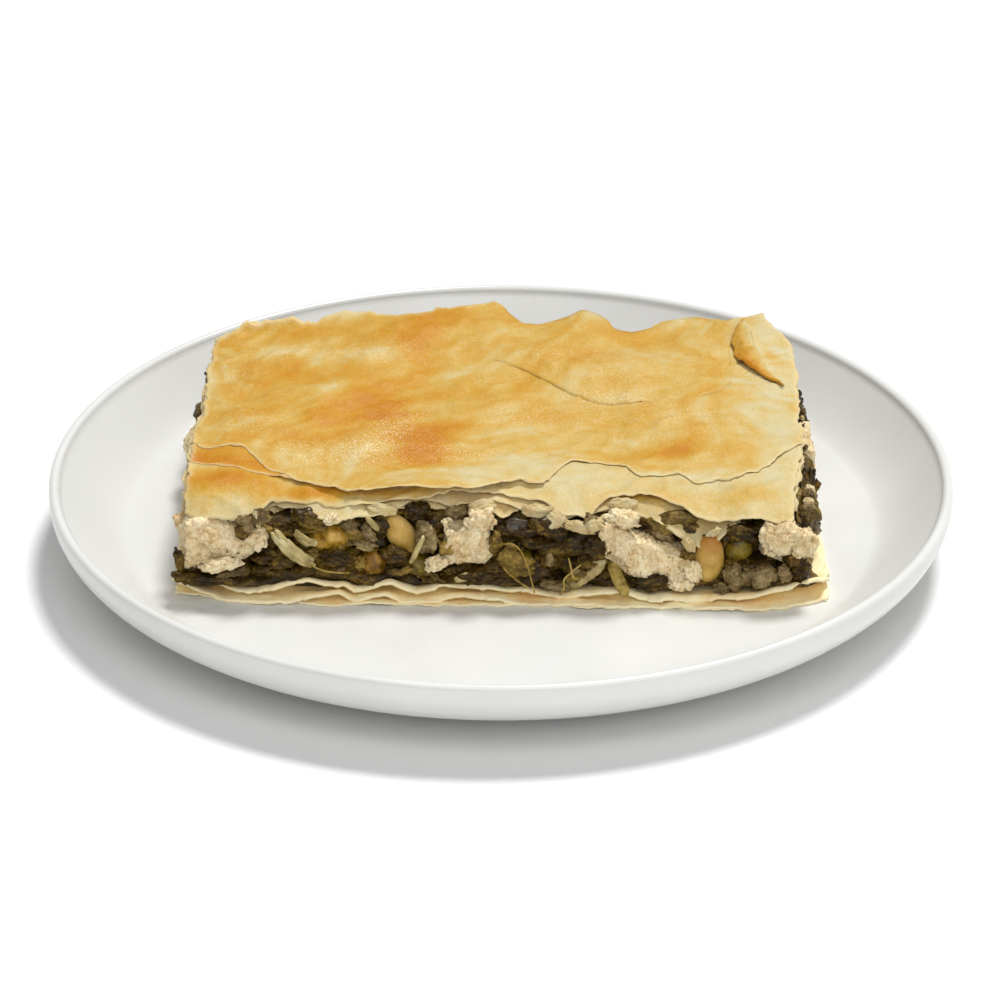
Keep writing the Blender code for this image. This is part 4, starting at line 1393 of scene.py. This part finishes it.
# %% Strew the leaf scraps
leaf_shapes = [(8.5, 4.8, 0.7, 1.0), (6.5, 5.0, 1.0, 0.9), (10, 4.0, 0.5, 1.2),
               (5.5, 3.6, 0.9, 0.7)]
for name, leaf, seed, density in (("dark_scraps", dark_leaf, 5, 26000),
                                  ("brown_scraps", brown_leaf, 8, 12000)):
    kinds = [scrap(f"{name}_{k}", leaf, 700 + seed + k, *shape, 0.22)
             for k, shape in enumerate(leaf_shapes)]
    wall = wall_of_slice(12 * MM, 25.2 * MM, -1.6 * MM)
    strewn = strew(name, wall, kinds, density=density, seed=seed, small=0.35, large=0.85,
                   material=leaf, tilt=(60, 35, 180))
    dress(strewn, "spinach", "spinach_filling")

# %% [markdown]
# ## Tofu
# The frame's tofu lumps are plain blocks with chipped corners. Each is remeshed into
# small even faces, then worn: broad dents first, then bites at the size of a curd,
# then grain. The colour is a pinkish cream with brown flecks of filling in its pores.

# %% Lumps from the frame's nodes
def remeshed(node, name, voxel):
    """A copy of a CAD node's mesh, as even small faces, without touching the node."""
    copy = in_scene(name, bpy.data.objects[node].data.copy())
    even = copy.modifiers.new("even faces", "REMESH")
    even.mode = "VOXEL"
    even.voxel_size = voxel
    even.use_smooth_shade = True
    return settled(copy)


def read_points(piece, what="co"):
    """Each point's place, or its normal, as one row."""
    values = np.zeros(len(piece.data.vertices) * 3)
    piece.data.vertices.foreach_get(what, values)
    return values.reshape(-1, 3)


def move_points(piece, places):
    """Puts the piece's points at these places."""
    piece.data.vertices.foreach_set("co", places.ravel())
    piece.data.update()


def push_out(piece, distance):
    """Moves each point along its normal."""
    move_points(piece, read_points(piece) + read_points(piece, "normal") * distance[:, None])


def finished(piece, material):
    """The piece with this material alone, smoothly shaded."""
    piece.data.materials.clear()
    piece.data.materials.append(material)
    piece.data.shade_smooth()
    return piece


# Cuts are (x, height, direction in degrees): what lies beyond the line goes. Bites are
# (x, height, radius): round pieces out of the edge. All are in mm, on the front face.
TOFU_CUTS = {
    "tofu_front_left": [(-66.5, 17.0, -70), (-56.6, 26.0, 15), (-78.6, 19.0, 190)],
    "tofu_front_middle": [(-11.6, 26.4, 130), (-13.6, 16.4, 215), (-2.6, 18.0, -10),
                          (-8, 16.6, -90)],
    "tofu_front_right": [(45.0, 22.8, 50), (24.4, 17.6, 235)]}
TOFU_BITES = {
    "tofu_front_left": [(-80.6, 19.4, 3.0), (-57.6, 30.2, 3.0), (-55.0, 19.6, 2.0)],
    "tofu_front_middle": [(-14.6, 23.6, 2.4), (-9.2, 30.0, 2.6), (-0.8, 24.6, 1.8),
                          (-10.6, 13.2, 2.0)],
    "tofu_front_right": [(23.2, 20.2, 1.8), (38.6, 28.0, 2.6), (36.0, 9.8, 3.0),
                         (30.2, 27.2, 2.0)]}


def cut_and_bitten(places, node, seed):
    """Places in metres, moved behind the node's cut lines and out of its bites."""
    x, y, z = places.T / MM
    for cut_x, cut_z, direction in TOFU_CUTS.get(node, ()):
        way_x, way_z = math.cos(math.radians(direction)), math.sin(math.radians(direction))
        ragged = 0.9 * rough(x / 3.0, y / 4.0, z / 3.0, seed + 6, 3)
        beyond = np.maximum(0, (x - cut_x) * way_x + (z - cut_z) * way_z + ragged)
        x, z = x - beyond * way_x * 0.92, z - beyond * way_z * 0.92
    for bite_x, bite_z, radius in TOFU_BITES.get(node, ()):
        away_x, away_z = x - bite_x, z - bite_z
        away = np.hypot(away_x, away_z) + 1e-6
        wall = radius * (1 + 0.25 * noise(x / 1.5, y / 2.5, z / 1.5, seed + 7))
        push = np.maximum(0, wall - away) / away
        x, z = x + away_x * push, z + away_z * push
    return np.stack([x, y, z], -1) * MM


def worn_lump(node, name, material, seed, dent=1.2, bite=1.0, voxel=0.33):
    """A node's block made crumbly: cut and bitten, then dents, knobs and grain."""
    lump = remeshed(node, name, voxel * MM)
    places = cut_and_bitten(read_points(lump), node, seed)
    move_points(lump, places)
    push_out(lump, MM * dent * noise(*(places.T / (5.5 * MM)), seed))
    places = read_points(lump).T
    curd = noise(*(places / (2.4 * MM)), seed + 1)
    knob = 1 - np.abs(noise(*(places / (1.7 * MM)), seed + 4)) * 2
    grain = rough(*(places / (1.0 * MM)), seed + 2, 3, 0.65)
    bites = np.minimum(0, curd + 0.15) * 1.6
    push_out(lump, MM * (bite * bites + 0.4 * knob * np.clip(curd + 0.6, 0, 1) + 0.3 * grain))
    return finished(lump, material)

# %% Tofu's surface
def tofu_finish():
    curd = Finish("crumbly tofu", Specular_IOR_Level=0.2, Subsurface_Weight=0.18,
                  Subsurface_Scale=1.5 * MM, Subsurface_Radius=(1.0, 0.55, 0.35))
    cloud = curd.noise(4 * MM, 3, 0.6)
    grain = curd.noise(0.8 * MM, 4, 0.7)
    cream = curd.colours(curd.average(cloud, grain), (0.34, (192, 156, 100)),
                         (0.46, (232, 207, 158)), (0.60, (252, 236, 198)))
    pores = curd.spread(curd.noise(0.62 * MM, 2, 0.6), 0.58, 0.68)
    cream = curd.mix(curd.math("MULTIPLY", pores, 0.5), cream, (160, 118, 72))
    flecks = curd.spread(curd.noise(1.3 * MM, 3, 0.7, curd.stretched(1, 1, 0.8)), 0.60, 0.67)
    near = curd.spread(curd.noise(5.5 * MM, 2), 0.40, 0.60)
    cream = curd.mix(curd.math("MULTIPLY", flecks, curd.math("MULTIPLY", near, 0.9)), cream,
                     (104, 62, 28))
    holes = curd.bumps(curd.cells(1.0 * MM), 0.3 * MM, 0.5)
    return curd.finish(cream, 0.62, curd.bumps(grain, 0.5 * MM, 0.8, holes))


tofu = tofu_finish()
tofu_nodes = nodes_of("tofu")
for k, node in enumerate(tofu_nodes):
    lump = worn_lump(node, "worn_" + node, tofu, 800 + 10 * k)
    dress(lump, "tofu", node)
    print(lump.name, len(lump.data.polygons), "faces")

# %% [markdown]
# ## Chickpeas, pine nuts and onion
# These are smooth. A chickpea is a ball with a groove and a wrinkled skin, and a pine
# nut is a slim egg, left plain, with a browned tip. The onion is remeshed and smoothed;
# it is cooked, translucent and ribbed along it.

# %% Smooth pieces from the frame's nodes
def smooth_lump(node, name, voxel, passes):
    """A remeshed node, smoothed, then grown back to the size that it had."""
    lump = remeshed(node, name, voxel)
    softer = lump.modifiers.new("softer", "SMOOTH")
    softer.factor = 0.5
    softer.iterations = passes
    lump = settled(lump)
    places = read_points(lump)
    middle, size = middle_and_size(node)
    lost = size / (places.max(axis=0) - places.min(axis=0))
    places = middle + (places - (places.max(axis=0) + places.min(axis=0)) / 2) * lost
    move_points(lump, places)
    return lump

# %% Chickpeas
def pea_finish(name, low, middle, high):
    skin = Finish(name, Specular_IOR_Level=0.3, Coat_Weight=0.2, Coat_Roughness=0.18,
                  Subsurface_Weight=0.3, Subsurface_Scale=1.6 * MM,
                  Subsurface_Radius=(1.0, 0.6, 0.2))
    cloud = skin.noise(3.2 * MM, 3, 0.6)
    speck = skin.spread(skin.noise(0.9 * MM, 3, 0.7), 0.60, 0.68)
    colour = skin.colours(cloud, (0.32, low), (0.50, middle), (0.68, high))
    colour = skin.mix(skin.math("MULTIPLY", speck, 0.55), colour, (74, 48, 16))
    wrinkle = skin.bumps(skin.noise(1.1 * MM, 3, 0.6), 0.20 * MM, 0.5)
    return skin.finish(colour, skin.spread(cloud, 0.3, 0.7, 0.30, 0.50), wrinkle)


golden_pea = pea_finish("golden chickpea skin", (134, 98, 20), (188, 144, 42), (224, 190, 106))
amber_pea = pea_finish("amber chickpea skin", (88, 58, 8), (140, 100, 20), (184, 138, 44))
green_pea = pea_finish("olive chickpea skin", (74, 58, 8), (122, 100, 22), (162, 140, 46))
pea_skins = {"chickpea_front_1": golden_pea, "chickpea_front_2": amber_pea,
             "chickpea_front_3": green_pea, "chickpea_front_4": green_pea,
             "chickpea_front_5": green_pea}
# How far a pea is moved, in x and height, and how much it is stretched that way.
PEA_CHANGES = {
    "chickpea_front_1": (0.4, 0.3, 1.30, 1.2), "chickpea_front_2": (0.2, -0.3, 1.05, 1.08),
    "chickpea_front_3": (0.4, -2.4, 1.05, 0.9), "chickpea_front_5": (0.2, 0.2, 0.95, 1.3)}


def pea(node, name, seed, material):
    """A chickpea about its node's middle: a ball with a groove, a beak and wrinkles."""
    middle, size = middle_and_size(node)
    over, up, wide, tall = PEA_CHANGES.get(node, (0, 0, 1, 1))
    middle, size = middle + np.array([over, 0, up]) * MM, size * np.array([wide, 1, tall])
    unit, faces = ball(5)
    groove = bump(unit[:, 0] * 0.8 + unit[:, 2] * 0.6 + 0.15, 0.16)
    beak = bump(np.linalg.norm(unit - np.array([0.5, -0.6, 0.62]), axis=1), 0.35)
    radius = 1 + 0.07 * beak - 0.05 * groove
    radius = radius + 0.05 * rough(*(unit.T * 1.7), seed, 4)
    return new_piece(name, middle + unit * radius[:, None] * size / 2, faces, material)


for k, node in enumerate(nodes_of("chickpea")):
    skin = pea_skins.get(node, golden_pea)
    dress(pea(node, "round_" + node, 900 + k, skin), "chickpea", node)

# %% Pine nuts
def kernel_finish():
    kernel = Finish("pine kernel", Specular_IOR_Level=0.2, Coat_Weight=0.12, Coat_Roughness=0.25,
                    Subsurface_Weight=0.15, Subsurface_Scale=1.5 * MM,
                    Subsurface_Radius=(1.0, 0.6, 0.3))
    cloud = kernel.noise(4.5 * MM, 3, 0.5)
    colour = kernel.colours(cloud, (0.34, (178, 138, 60)), (0.52, (200, 164, 84)),
                            (0.66, (214, 182, 108)))
    colour = kernel.mix(kernel.mark("browned"), colour, (178, 112, 42))
    lines = kernel.noise(1.0 * MM, 2, 0.5, kernel.stretched(1, 1, 0.3))
    return kernel.finish(colour, 0.36, kernel.bumps(lines, 0.10 * MM, 0.4))


kernel = kernel_finish()


# The nut that shows most is fuller and browner than the others: growth, browning.
NUT_CHANGES = {"pine_nut_front_2": (1.12, 0.8)}
NUTS_FORWARD = np.array([0, 0.9, 0])


def egg(node, name, material):
    """A pine nut on its node's own long axis: a slim egg, with a browned mark at its top."""
    growth, amount = NUT_CHANGES.get(node, (1.03, 0.15))
    places = read_points(bpy.data.objects[node])
    middle = (places.max(axis=0) + places.min(axis=0)) / 2
    _, axes = np.linalg.eigh(np.cov((places - middle).T))
    axes = axes * np.sign(np.linalg.det(axes))
    reach = np.abs((places - middle) @ axes).max(axis=0) * growth
    upward = 1 if axes[2, 2] > 0 else -1
    unit, faces = ball(5)
    taper = 1 - 0.10 * unit[:, 2] * upward + 0.015 * rough(*(unit.T * 1.6), 5, 3)
    points = middle + (unit * np.stack([taper, taper, 1 + 0 * taper], -1) * reach) @ axes.T
    height = (points[:, 2] - points[:, 2].min()) / np.ptp(points[:, 2])
    if "front" in node:
        points = points - NUTS_FORWARD * MM
    return new_piece(name, points, faces, material, browned=amount * ramp(height, 0.45, 1.0))


for node in nodes_of("pine_nut"):
    dress(egg(node, "plump_" + node, kernel), "pine_nut", node)

# %% Onion
def onion_finish():
    onion = Finish("cooked onion", Specular_IOR_Level=0.5, Coat_Weight=0.4, Coat_Roughness=0.2,
                   Subsurface_Weight=0.35, Subsurface_Scale=1.5 * MM,
                   Subsurface_Radius=(0.9, 0.8, 0.4))
    ribs = onion.noise(0.8 * MM, 3, 0.6, onion.stretched(0.5, 1, 0.5))
    cloud = onion.noise(4 * MM, 3, 0.5)
    colour = onion.colours(cloud, (0.34, (150, 128, 72)), (0.50, (190, 170, 108)),
                           (0.66, (216, 202, 152)))
    return onion.finish(colour, 0.34, onion.bumps(ribs, 0.3 * MM, 0.6))


onion = onion_finish()
# How far a sliver is moved, in x and height in mm, and how much it grows.
ONION_CHANGES = {"onion_front_2": (3.4, -1.4, 1.15)}
onion_nodes = nodes_of("onion")
for k, node in enumerate(name for name in onion_nodes if name != "onion_front_1"):
    sliver = smooth_lump(node, "soft_" + node, 0.28 * MM, 8)
    over, up, scale = ONION_CHANGES.get(node, (0, 0, 1))
    middle = middle_and_size(node)[0]
    places = middle + (read_points(sliver) - middle) * scale + np.array([over, 0, up]) * MM
    move_points(sliver, places)
    push_out(sliver, MM * 0.25 * rough(*(places.T / (1.8 * MM)), 950 + k, 3))
    dress(finished(sliver, onion), "onion", node)

# %% [markdown]
# ## Small pieces in the cut face
# The front cut is where the eye goes, so its small pieces are placed one by one: crumbs
# of tofu, bits of onion, stalk and leaf, flakes of dough and a few fibres. Each list
# below is one piece of its kind. Places and sizes are in millimetres: x and height on
# the cut face, and how far the bit's middle stands out of it.

# %% Chips, flakes and fibres
def on_front(points, x, height, out, turn=0.0, tip=0.0, yaw=0.0):
    """Points in mm round 0, stood on the front cut: turned in its plane, tipped and yawed."""
    angles = [math.radians(a) for a in (tip, -turn, yaw)]
    points = points @ np.array(Euler(angles, "XYZ").to_matrix()).T
    y = SLICE["front"] / MM - (MIDDLE_HEIGHT - height) * LEAN - out
    return (points + np.array([x, y, height])) * MM


def chip(long, deep, high, seed, unevenness, levels):
    """A closed bit of food round 0, in mm, squarer than a ball and uneven."""
    unit, faces = ball(levels)
    push = 1 + unevenness * rough(*(unit.T * 1.5 + seed), seed, 4, 0.6)
    squared = np.sign(unit) * np.abs(unit) ** 0.8
    return squared * push[:, None] * np.array([long, deep, high]) / 2, faces


def flake(long, high, curl, crumple, seed):
    """A torn bit of sheet round 0 that hangs in its x and z, in mm."""
    u, v = np.meshgrid(np.linspace(-1, 1, 31), np.linspace(-1, 1, 21))
    ragged = 1 + 0.22 * noise(u * 2.4, v * 2.4, seed, seed)
    ragged = ragged + 0.08 * noise(u * 7, v * 7, seed, seed + 1)
    x = u * long / 2 * ragged * (1 - 0.2 * v * v)
    z = v * high / 2 * ragged * (1 - 0.3 * u * u)
    y = curl * (u * u + 0.5 * v * v - 0.5) + crumple * rough(u * 1.5, v * 1.5, seed, seed + 2, 3)
    return as_rows(x, y, z), grid_faces(31, 21)


def chips(name, material, spots, seed, unevenness=0.30, levels=4):
    """Chips on the front cut: x, height, out, long, high, deep, turn."""
    parts = []
    for k, (x, height, out, long, high, deep, turn) in enumerate(spots):
        points, faces = chip(long, deep, high, seed + k, unevenness, levels)
        parts.append((on_front(points, x, height, out, turn), faces))
    return gathered(name, material, parts)


def flakes(name, material, spots, seed, thickness=0.35, **marks):
    """Flakes on the front cut: x, height, out, long, high, curl, turn, tip, yaw."""
    parts = []
    for k, (x, height, out, long, high, curl, turn, tip, yaw) in enumerate(spots):
        points, faces = flake(long, high, curl, 0.5, seed + k)
        parts.append((on_front(points, x, height, out, turn, tip, yaw), faces))
    return thicken(gathered(name, material, parts, **marks), thickness, 0)


def fibres(name, material, lines, radius):
    """Thin round fibres through points on the front cut: x, height, out."""
    curve = bpy.data.curves.new(name, "CURVE")
    curve.dimensions = "3D"
    curve.bevel_depth = radius * MM
    curve.bevel_resolution = 2
    curve.use_fill_caps = True
    for line in lines:
        spline = curve.splines.new("NURBS")
        spline.points.add(len(line) - 1)
        for point, (x, height, out) in zip(spline.points, line):
            point.co = (*on_front(np.zeros(3), x, height, out), 1.0)
        spline.order_u = 3
        spline.use_endpoint_u = True
        spline.resolution_u = 8
    return finished(settled(in_scene(name, curve)), material)

# %% Crumbs of tofu
TOFU_CRUMBS = [(-4.6, 27.4, 0.4, 6.6, 5.6, 5, 10), (-15.4, 17.4, 2.0, 4.8, 3.4, 3.4, 20),
               (28.6, 27.4, 0.0, 8.0, 4.2, 4.5, -6), (25.0, 25.4, 1.2, 4.0, 4.6, 4, 0),
               (66.2, 23.2, 1.0, 9.0, 8.4, 6, 0), (71.6, 21.6, 0.8, 6.2, 6.4, 5, 0),
               (-57.8, 22.6, 0.2, 4.8, 5.4, 4, 20), (45.0, 14.8, 1.2, 4.6, 5.6, 3, 10),
               (42.4, 12.2, 1.4, 6.2, 3.6, 3, -10), (-40.0, 27.6, 0.8, 3.8, 2.2, 3, 20),
               (-66.6, 16.6, 1.4, 9.4, 3.2, 3, 10), (-12.6, 27.0, 0.8, 2.6, 2.0, 2, 30),
               (73.2, 26.4, -11, 2.6, 1.8, 2.4, 30), (74.0, 25.6, -19, 2.2, 1.8, 2.0, 0)]


def crumbly(places, seed):
    """How far a tofu surface strays outward, in metres, at places in metres."""
    places = (places / MM).T
    curd = noise(*(places / 2.2), seed)
    grain = rough(*places, seed + 1, 3, 0.6)
    return MM * (1.1 * np.minimum(0, curd + 0.1) + 0.3 * grain)


crumbs = chips("tofu_crumbs", tofu, TOFU_CRUMBS, 60, 0.30, 5)
push_out(crumbs, crumbly(read_points(crumbs), 870))
dress(crumbs, "tofu", *tofu_nodes)

# %% Bits of stalk, onion and leaf
stewed = cooked_leaf("stewed stalk", (70, 54, 26), (114, 94, 56), (164, 142, 98), 0.2)
olive = cooked_leaf("olive leaf", (70, 54, 18), (116, 92, 36), (166, 138, 66), 0.12)
STEWED_BITS = [(-57.0, 27.8, 0.0, 4.6, 3.6, 3, 20), (-17.6, 22.6, 0.0, 5.0, 7.0, 4, 10),
               (61.2, 13.6, 0.4, 7.6, 5.8, 5, 5), (55.2, 13.2, 0.2, 4.6, 5.6, 4, 0),
               (52.4, 10.8, 0.6, 3.6, 2.2, 3, -20), (-31.4, 24.0, 0.2, 2.6, 5.0, 3, 30),
               (-36.0, 26.2, 0.4, 4.4, 2.6, 3, -20), (-32.2, 21.2, 0.0, 5.0, 3.0, 3, -25),
               (22.0, 26.4, 0.2, 5.0, 3.2, 3, -35), (-60.6, 26.2, 0.8, 3.8, 4.8, 3, 10),
               (-10.4, 27.8, -2.2, 5.4, 3.0, 3, 0), (38.0, 22.8, -2.0, 6.0, 3.4, 3, -30),
               (12.8, 11.0, 0.2, 6.6, 2.2, 3, -6), (67.2, 14.2, 0.6, 3.2, 4.4, 3, 10),
               (-64.0, 14.4, 0.8, 6.6, 1.6, 2, 14), (72.6, 26.6, -6.6, 3.4, 2.2, 3, 30),
               (73.4, 26.2, -14.6, 2.6, 2.4, 4, 0)]
OLIVE_BITS = [(-13.0, 20.4, 0.2, 3.6, 3.6, 3, 0), (-1.2, 21.2, -0.2, 3.0, 5.0, 4, 0),
              (-33.4, 16.2, -0.6, 2.6, 3.4, 3, 0), (44.8, 17.2, -1.0, 4.0, 4.6, 3, 0)]
DARK_BITS = [(-38.3, 17.8, 0.0, 8.0, 3.8, 4, -6), (-24.9, 18.3, -0.2, 6.4, 3.8, 4, -14),
             (-19.6, 27.9, -2.8, 5.8, 4.0, 4, -10), (35.6, 12.0, 0.4, 8.6, 4.2, 4, -4),
             (57.2, 24.0, 0.0, 7.6, 3.4, 4, -6), (-76.4, 16.4, -1.2, 2.2, 6.6, 2.6, 12),
             (-75.8, 12.8, -0.2, 4.6, 2.0, 3, -24), (-69.0, 12.6, 0.4, 13, 2.0, 3, -3),
             (-61.3, 24.6, 1.2, 3.0, 4.0, 2.4, 20), (-45.0, 26.4, -1.4, 8.0, 3.8, 4, -20),
             (69.8, 17.4, 0.2, 5.0, 4.0, 3, 0), (12.0, 25.0, 0.0, 9.0, 4.4, 4, -8),
             (-5.0, 13.4, 0.0, 9.0, 3.2, 4, 6), (22.4, 20.8, 0.6, 6.0, 5.0, 4, -30),
             (71.0, 14.6, -0.6, 4.2, 4.2, 4, 20), (-51.6, 16.8, 0.2, 6.6, 2.6, 3, 10)]
for name, material, spots, seed in (("stewed_bits", stewed, STEWED_BITS, 200),
                                    ("olive_bits", olive, OLIVE_BITS, 230),
                                    ("dark_bits", dark_leaf, DARK_BITS, 260)):
    bits = chips(name, material, spots, seed, 0.42)
    x, y, z = read_points(bits).T / MM
    push_out(bits, MM * 0.22 * rough(x / 1.4, y / 1.4, z, seed, 3))
    dress(bits, "spinach", "spinach_filling")

ONION_BITS = [(-19.8, 20.9, 2.2, 7.6, 1.3, 1.2, 66), (-30.4, 26.6, 1.0, 4.4, 1.5, 1.2, -50),
              (-9.0, 13.2, 0.6, 4.0, 2.0, 1.6, 20), (-46.6, 22.4, 0.8, 3.6, 2.4, 1.4, -40)]
STALKS = [(27.9, 13.9, 3.0, 9.6, 3.0, 1.8, -68)]
ONION_FLATS = [(-49.4, 20.2, 1.8, 12.4, 3.6, 1.6, -40, 6, -8),
               (-46.4, 22.6, 1.0, 6.0, 2.6, 1.0, -30, 20, 0)]
dress(chips("onion_bits", onion, ONION_BITS, 300, 0.20), "onion", *onion_nodes)
dress(flakes("onion_flats", onion, ONION_FLATS, 310, 0.7), "onion", "onion_front_1")
green_stalk = cooked_leaf("green stalk", (110, 88, 34), (156, 132, 60), (192, 170, 100), 0.2)
dress(chips("stalks", green_stalk, STALKS, 320, 0.16), "spinach", "spinach_filling")

# %% Curled olive leaf and fibres
OLIVE_CURLS = [(3.7, 17.2, 2.8, 9.2, 6.4, 1.8, -28, 10, 0),
               (1.4, 19.6, 2.4, 6.0, 3.2, 1.2, 50, -10, 10),
               (-34.4, 23.4, 0.6, 5.4, 3.4, 1.4, -40, 20, 0),
               (18.0, 13.2, 0.8, 5.0, 2.2, 1.0, 24, 20, 0),
               (37.6, 24.6, -0.8, 7.0, 2.6, 1.2, -30, 10, 0),
               (-24.0, 14.6, 0.6, 6.0, 2.4, 1.0, 10, 20, 0)]
curls = flakes("olive_curls", olive, OLIVE_CURLS, 330, 0.3)
dress(curls, "spinach", "spinach_filling")
FIBRES = [
    [(-1.8, 21.8, 2.4), (0.4, 22.8, 3.6), (2.9, 23.2, 4.2), (4.9, 21.4, 4.4), (6.2, 18.0, 4.6),
     (7.2, 14.4, 4.2), (7.9, 10.8, 3.4)],
    [(14.0, 9.8, 2.4), (15.2, 12.0, 3.4), (14.6, 13.8, 3.6), (16.0, 15.4, 3.4),
     (18.9, 17.1, 2.2)],
    [(16.0, 18.8, 2.4), (16.7, 16.3, 3.4), (17.2, 13.4, 2.8), (19.2, 14.0, 2.2)],
    [(0.6, 17.0, 3.4), (3.0, 14.4, 4.4), (6.6, 12.4, 4.2)],
    [(-47.0, 18.0, 1.6), (-44.0, 16.4, 2.6), (-40.0, 15.2, 2.4), (-36.0, 14.6, 1.2)]]
fibre_finish = cooked_leaf("yellow fibre", (116, 90, 26), (156, 128, 54), (196, 172, 98), 0.2)
dress(fibres("fibres", fibre_finish, FIBRES, 0.22), "spinach", "spinach_filling")

# %% Flakes of dough on the cut face
DOUGH_FLAKES = [(9.4, 28.3, -1.4, 9.2, 3.4, 1.0, -12, -24, 6),
                (13.4, 27.0, 0.9, 5.0, 4.4, 1.4, -50, -20, 0),
                (18.8, 25.7, 1.0, 8.0, 2.8, 0.8, -14, -30, 0),
                (21.8, 26.5, 1.6, 5.2, 3.4, 1.2, 20, -30, 0),
                (28.8, 29.6, -2.6, 7.0, 3.0, 0.8, 0, -30, 0),
                (-57.6, 27.2, 0.8, 1.2, 5.6, 0.5, 12, 0, 30),
                (-4.6, 29.8, -1.0, 6.4, 3.4, 0.8, 10, -36, 0),
                (44.6, 21.4, 1.2, 4.0, 2.6, 0.8, -50, -10, 0),
                (-28.0, 29.4, -0.4, 7.0, 2.8, 0.8, -6, -30, 0),
                (50.2, 24.6, 1.4, 3.6, 1.4, 0.5, 30, 0, 0)]
dough = flakes("dough_flakes", inner_filo, DOUGH_FLAKES, 360, 0.4,
               browned=0.06, edge=0.25, shiny=0.0)
dress(dough, "top_pastry", "top_crust")

# %% [markdown]
# ## Bits strewn round all four sides
# The other sides have no bits of their own, so onion, stalk and olive leaf are strewn
# on them and on the front too, thinly, as when the slice was cut.

# %% Strew onion, stalk and olive leaf
BIT_SIZES = [(5.0, 1.6, 2.2), (3.4, 2.2, 3.0), (2.4, 1.8, 1.6)]
for name, material, slot, node, density, large, seed in (
        ("strewn_onion", onion, "onion", "onion_front_1", 1500, 1.0, 21),
        ("strewn_stalk", stewed, "spinach", "spinach_filling", 3600, 1.15, 22),
        ("strewn_olive", olive, "spinach", "spinach_filling", 2600, 1.0, 23)):
    kinds = []
    for k, (long, deep, high) in enumerate(BIT_SIZES):
        points, faces = chip(long, deep, high, seed + k, 0.35, 3)
        kinds.append(new_piece(f"{name}_{k}", points * MM, faces, material))
    wall = wall_of_slice(12.5 * MM, 26 * MM, -1.2 * MM)
    strewn = strew(name, wall, kinds, density=density, seed=seed, small=0.5, large=large,
                   material=material, tilt=(20, 20, 180))
    dress(strewn, slot, node)

# %% The curled corner of a sheet
def curled_corner(material):
    """A strip of the top sheet that has come loose at the back right and curled up."""
    outer = np.array([(60.9, 50.5), (58.4, 44.5), (57.2, 37.6), (58.6, 29.4), (62.6, 25.0),
                      (69.0, 20.4)])
    inner = np.array([(62.2, 50.2), (63.0, 44.8), (63.8, 39), (64.8, 32.0), (66.4, 27.0),
                      (69.6, 21.4)])
    spots = np.linspace(0, 1, len(outer))
    columns, rows = 60, 17
    s, t = np.meshgrid(np.linspace(0, 1, columns), np.linspace(0, 1, rows))
    x, y = (np.interp(s, spots, outer[:, k]) * (1 - t) + np.interp(s, spots, inner[:, k]) * t
            for k in (0, 1))
    ends = np.sin(np.pi * np.clip(0.03 + 0.94 * s, 0, 1)) ** 0.6
    x = x + 0.5 * rough(s * 9, t * 2, 0.5, 71, 3)
    y = y + 0.5 * rough(s * 8, t * 2, 0.5, 72, 3)
    crumple = 0.55 * rough(s * 6, t * 2.2, 0.5, 73, 3) - 0.5 * bump(s - 0.52, 0.05)
    rise = 0.35 + ends * (2.1 * np.sin(np.pi * np.clip(t * 0.72 + 0.08, 0, 1)) + crumple)
    rise = rise - 2.6 * ramp(t, 0.72, 1.0)
    z = common_surface(x * MM, y * MM) / MM + rise
    browned = 0.16 + 0.62 * (1 - ramp(t, 0.1, 0.85)) * (0.65 + 0.35 * ramp(s, 0.3, 0.6))
    browned = browned + 0.1 * noise(s * 5, t * 2, 0.5, 74)
    piece = new_piece("curled_corner", as_rows(x, y, z) * MM, grid_faces(columns, rows),
                      material, browned=browned, edge=0.3 * (1 - ramp(t, 0.0, 0.08)),
                      shiny=0 * s)
    return thicken(piece, 0.3)


dress(curled_corner(top_filo), "top_pastry", "top_crust")
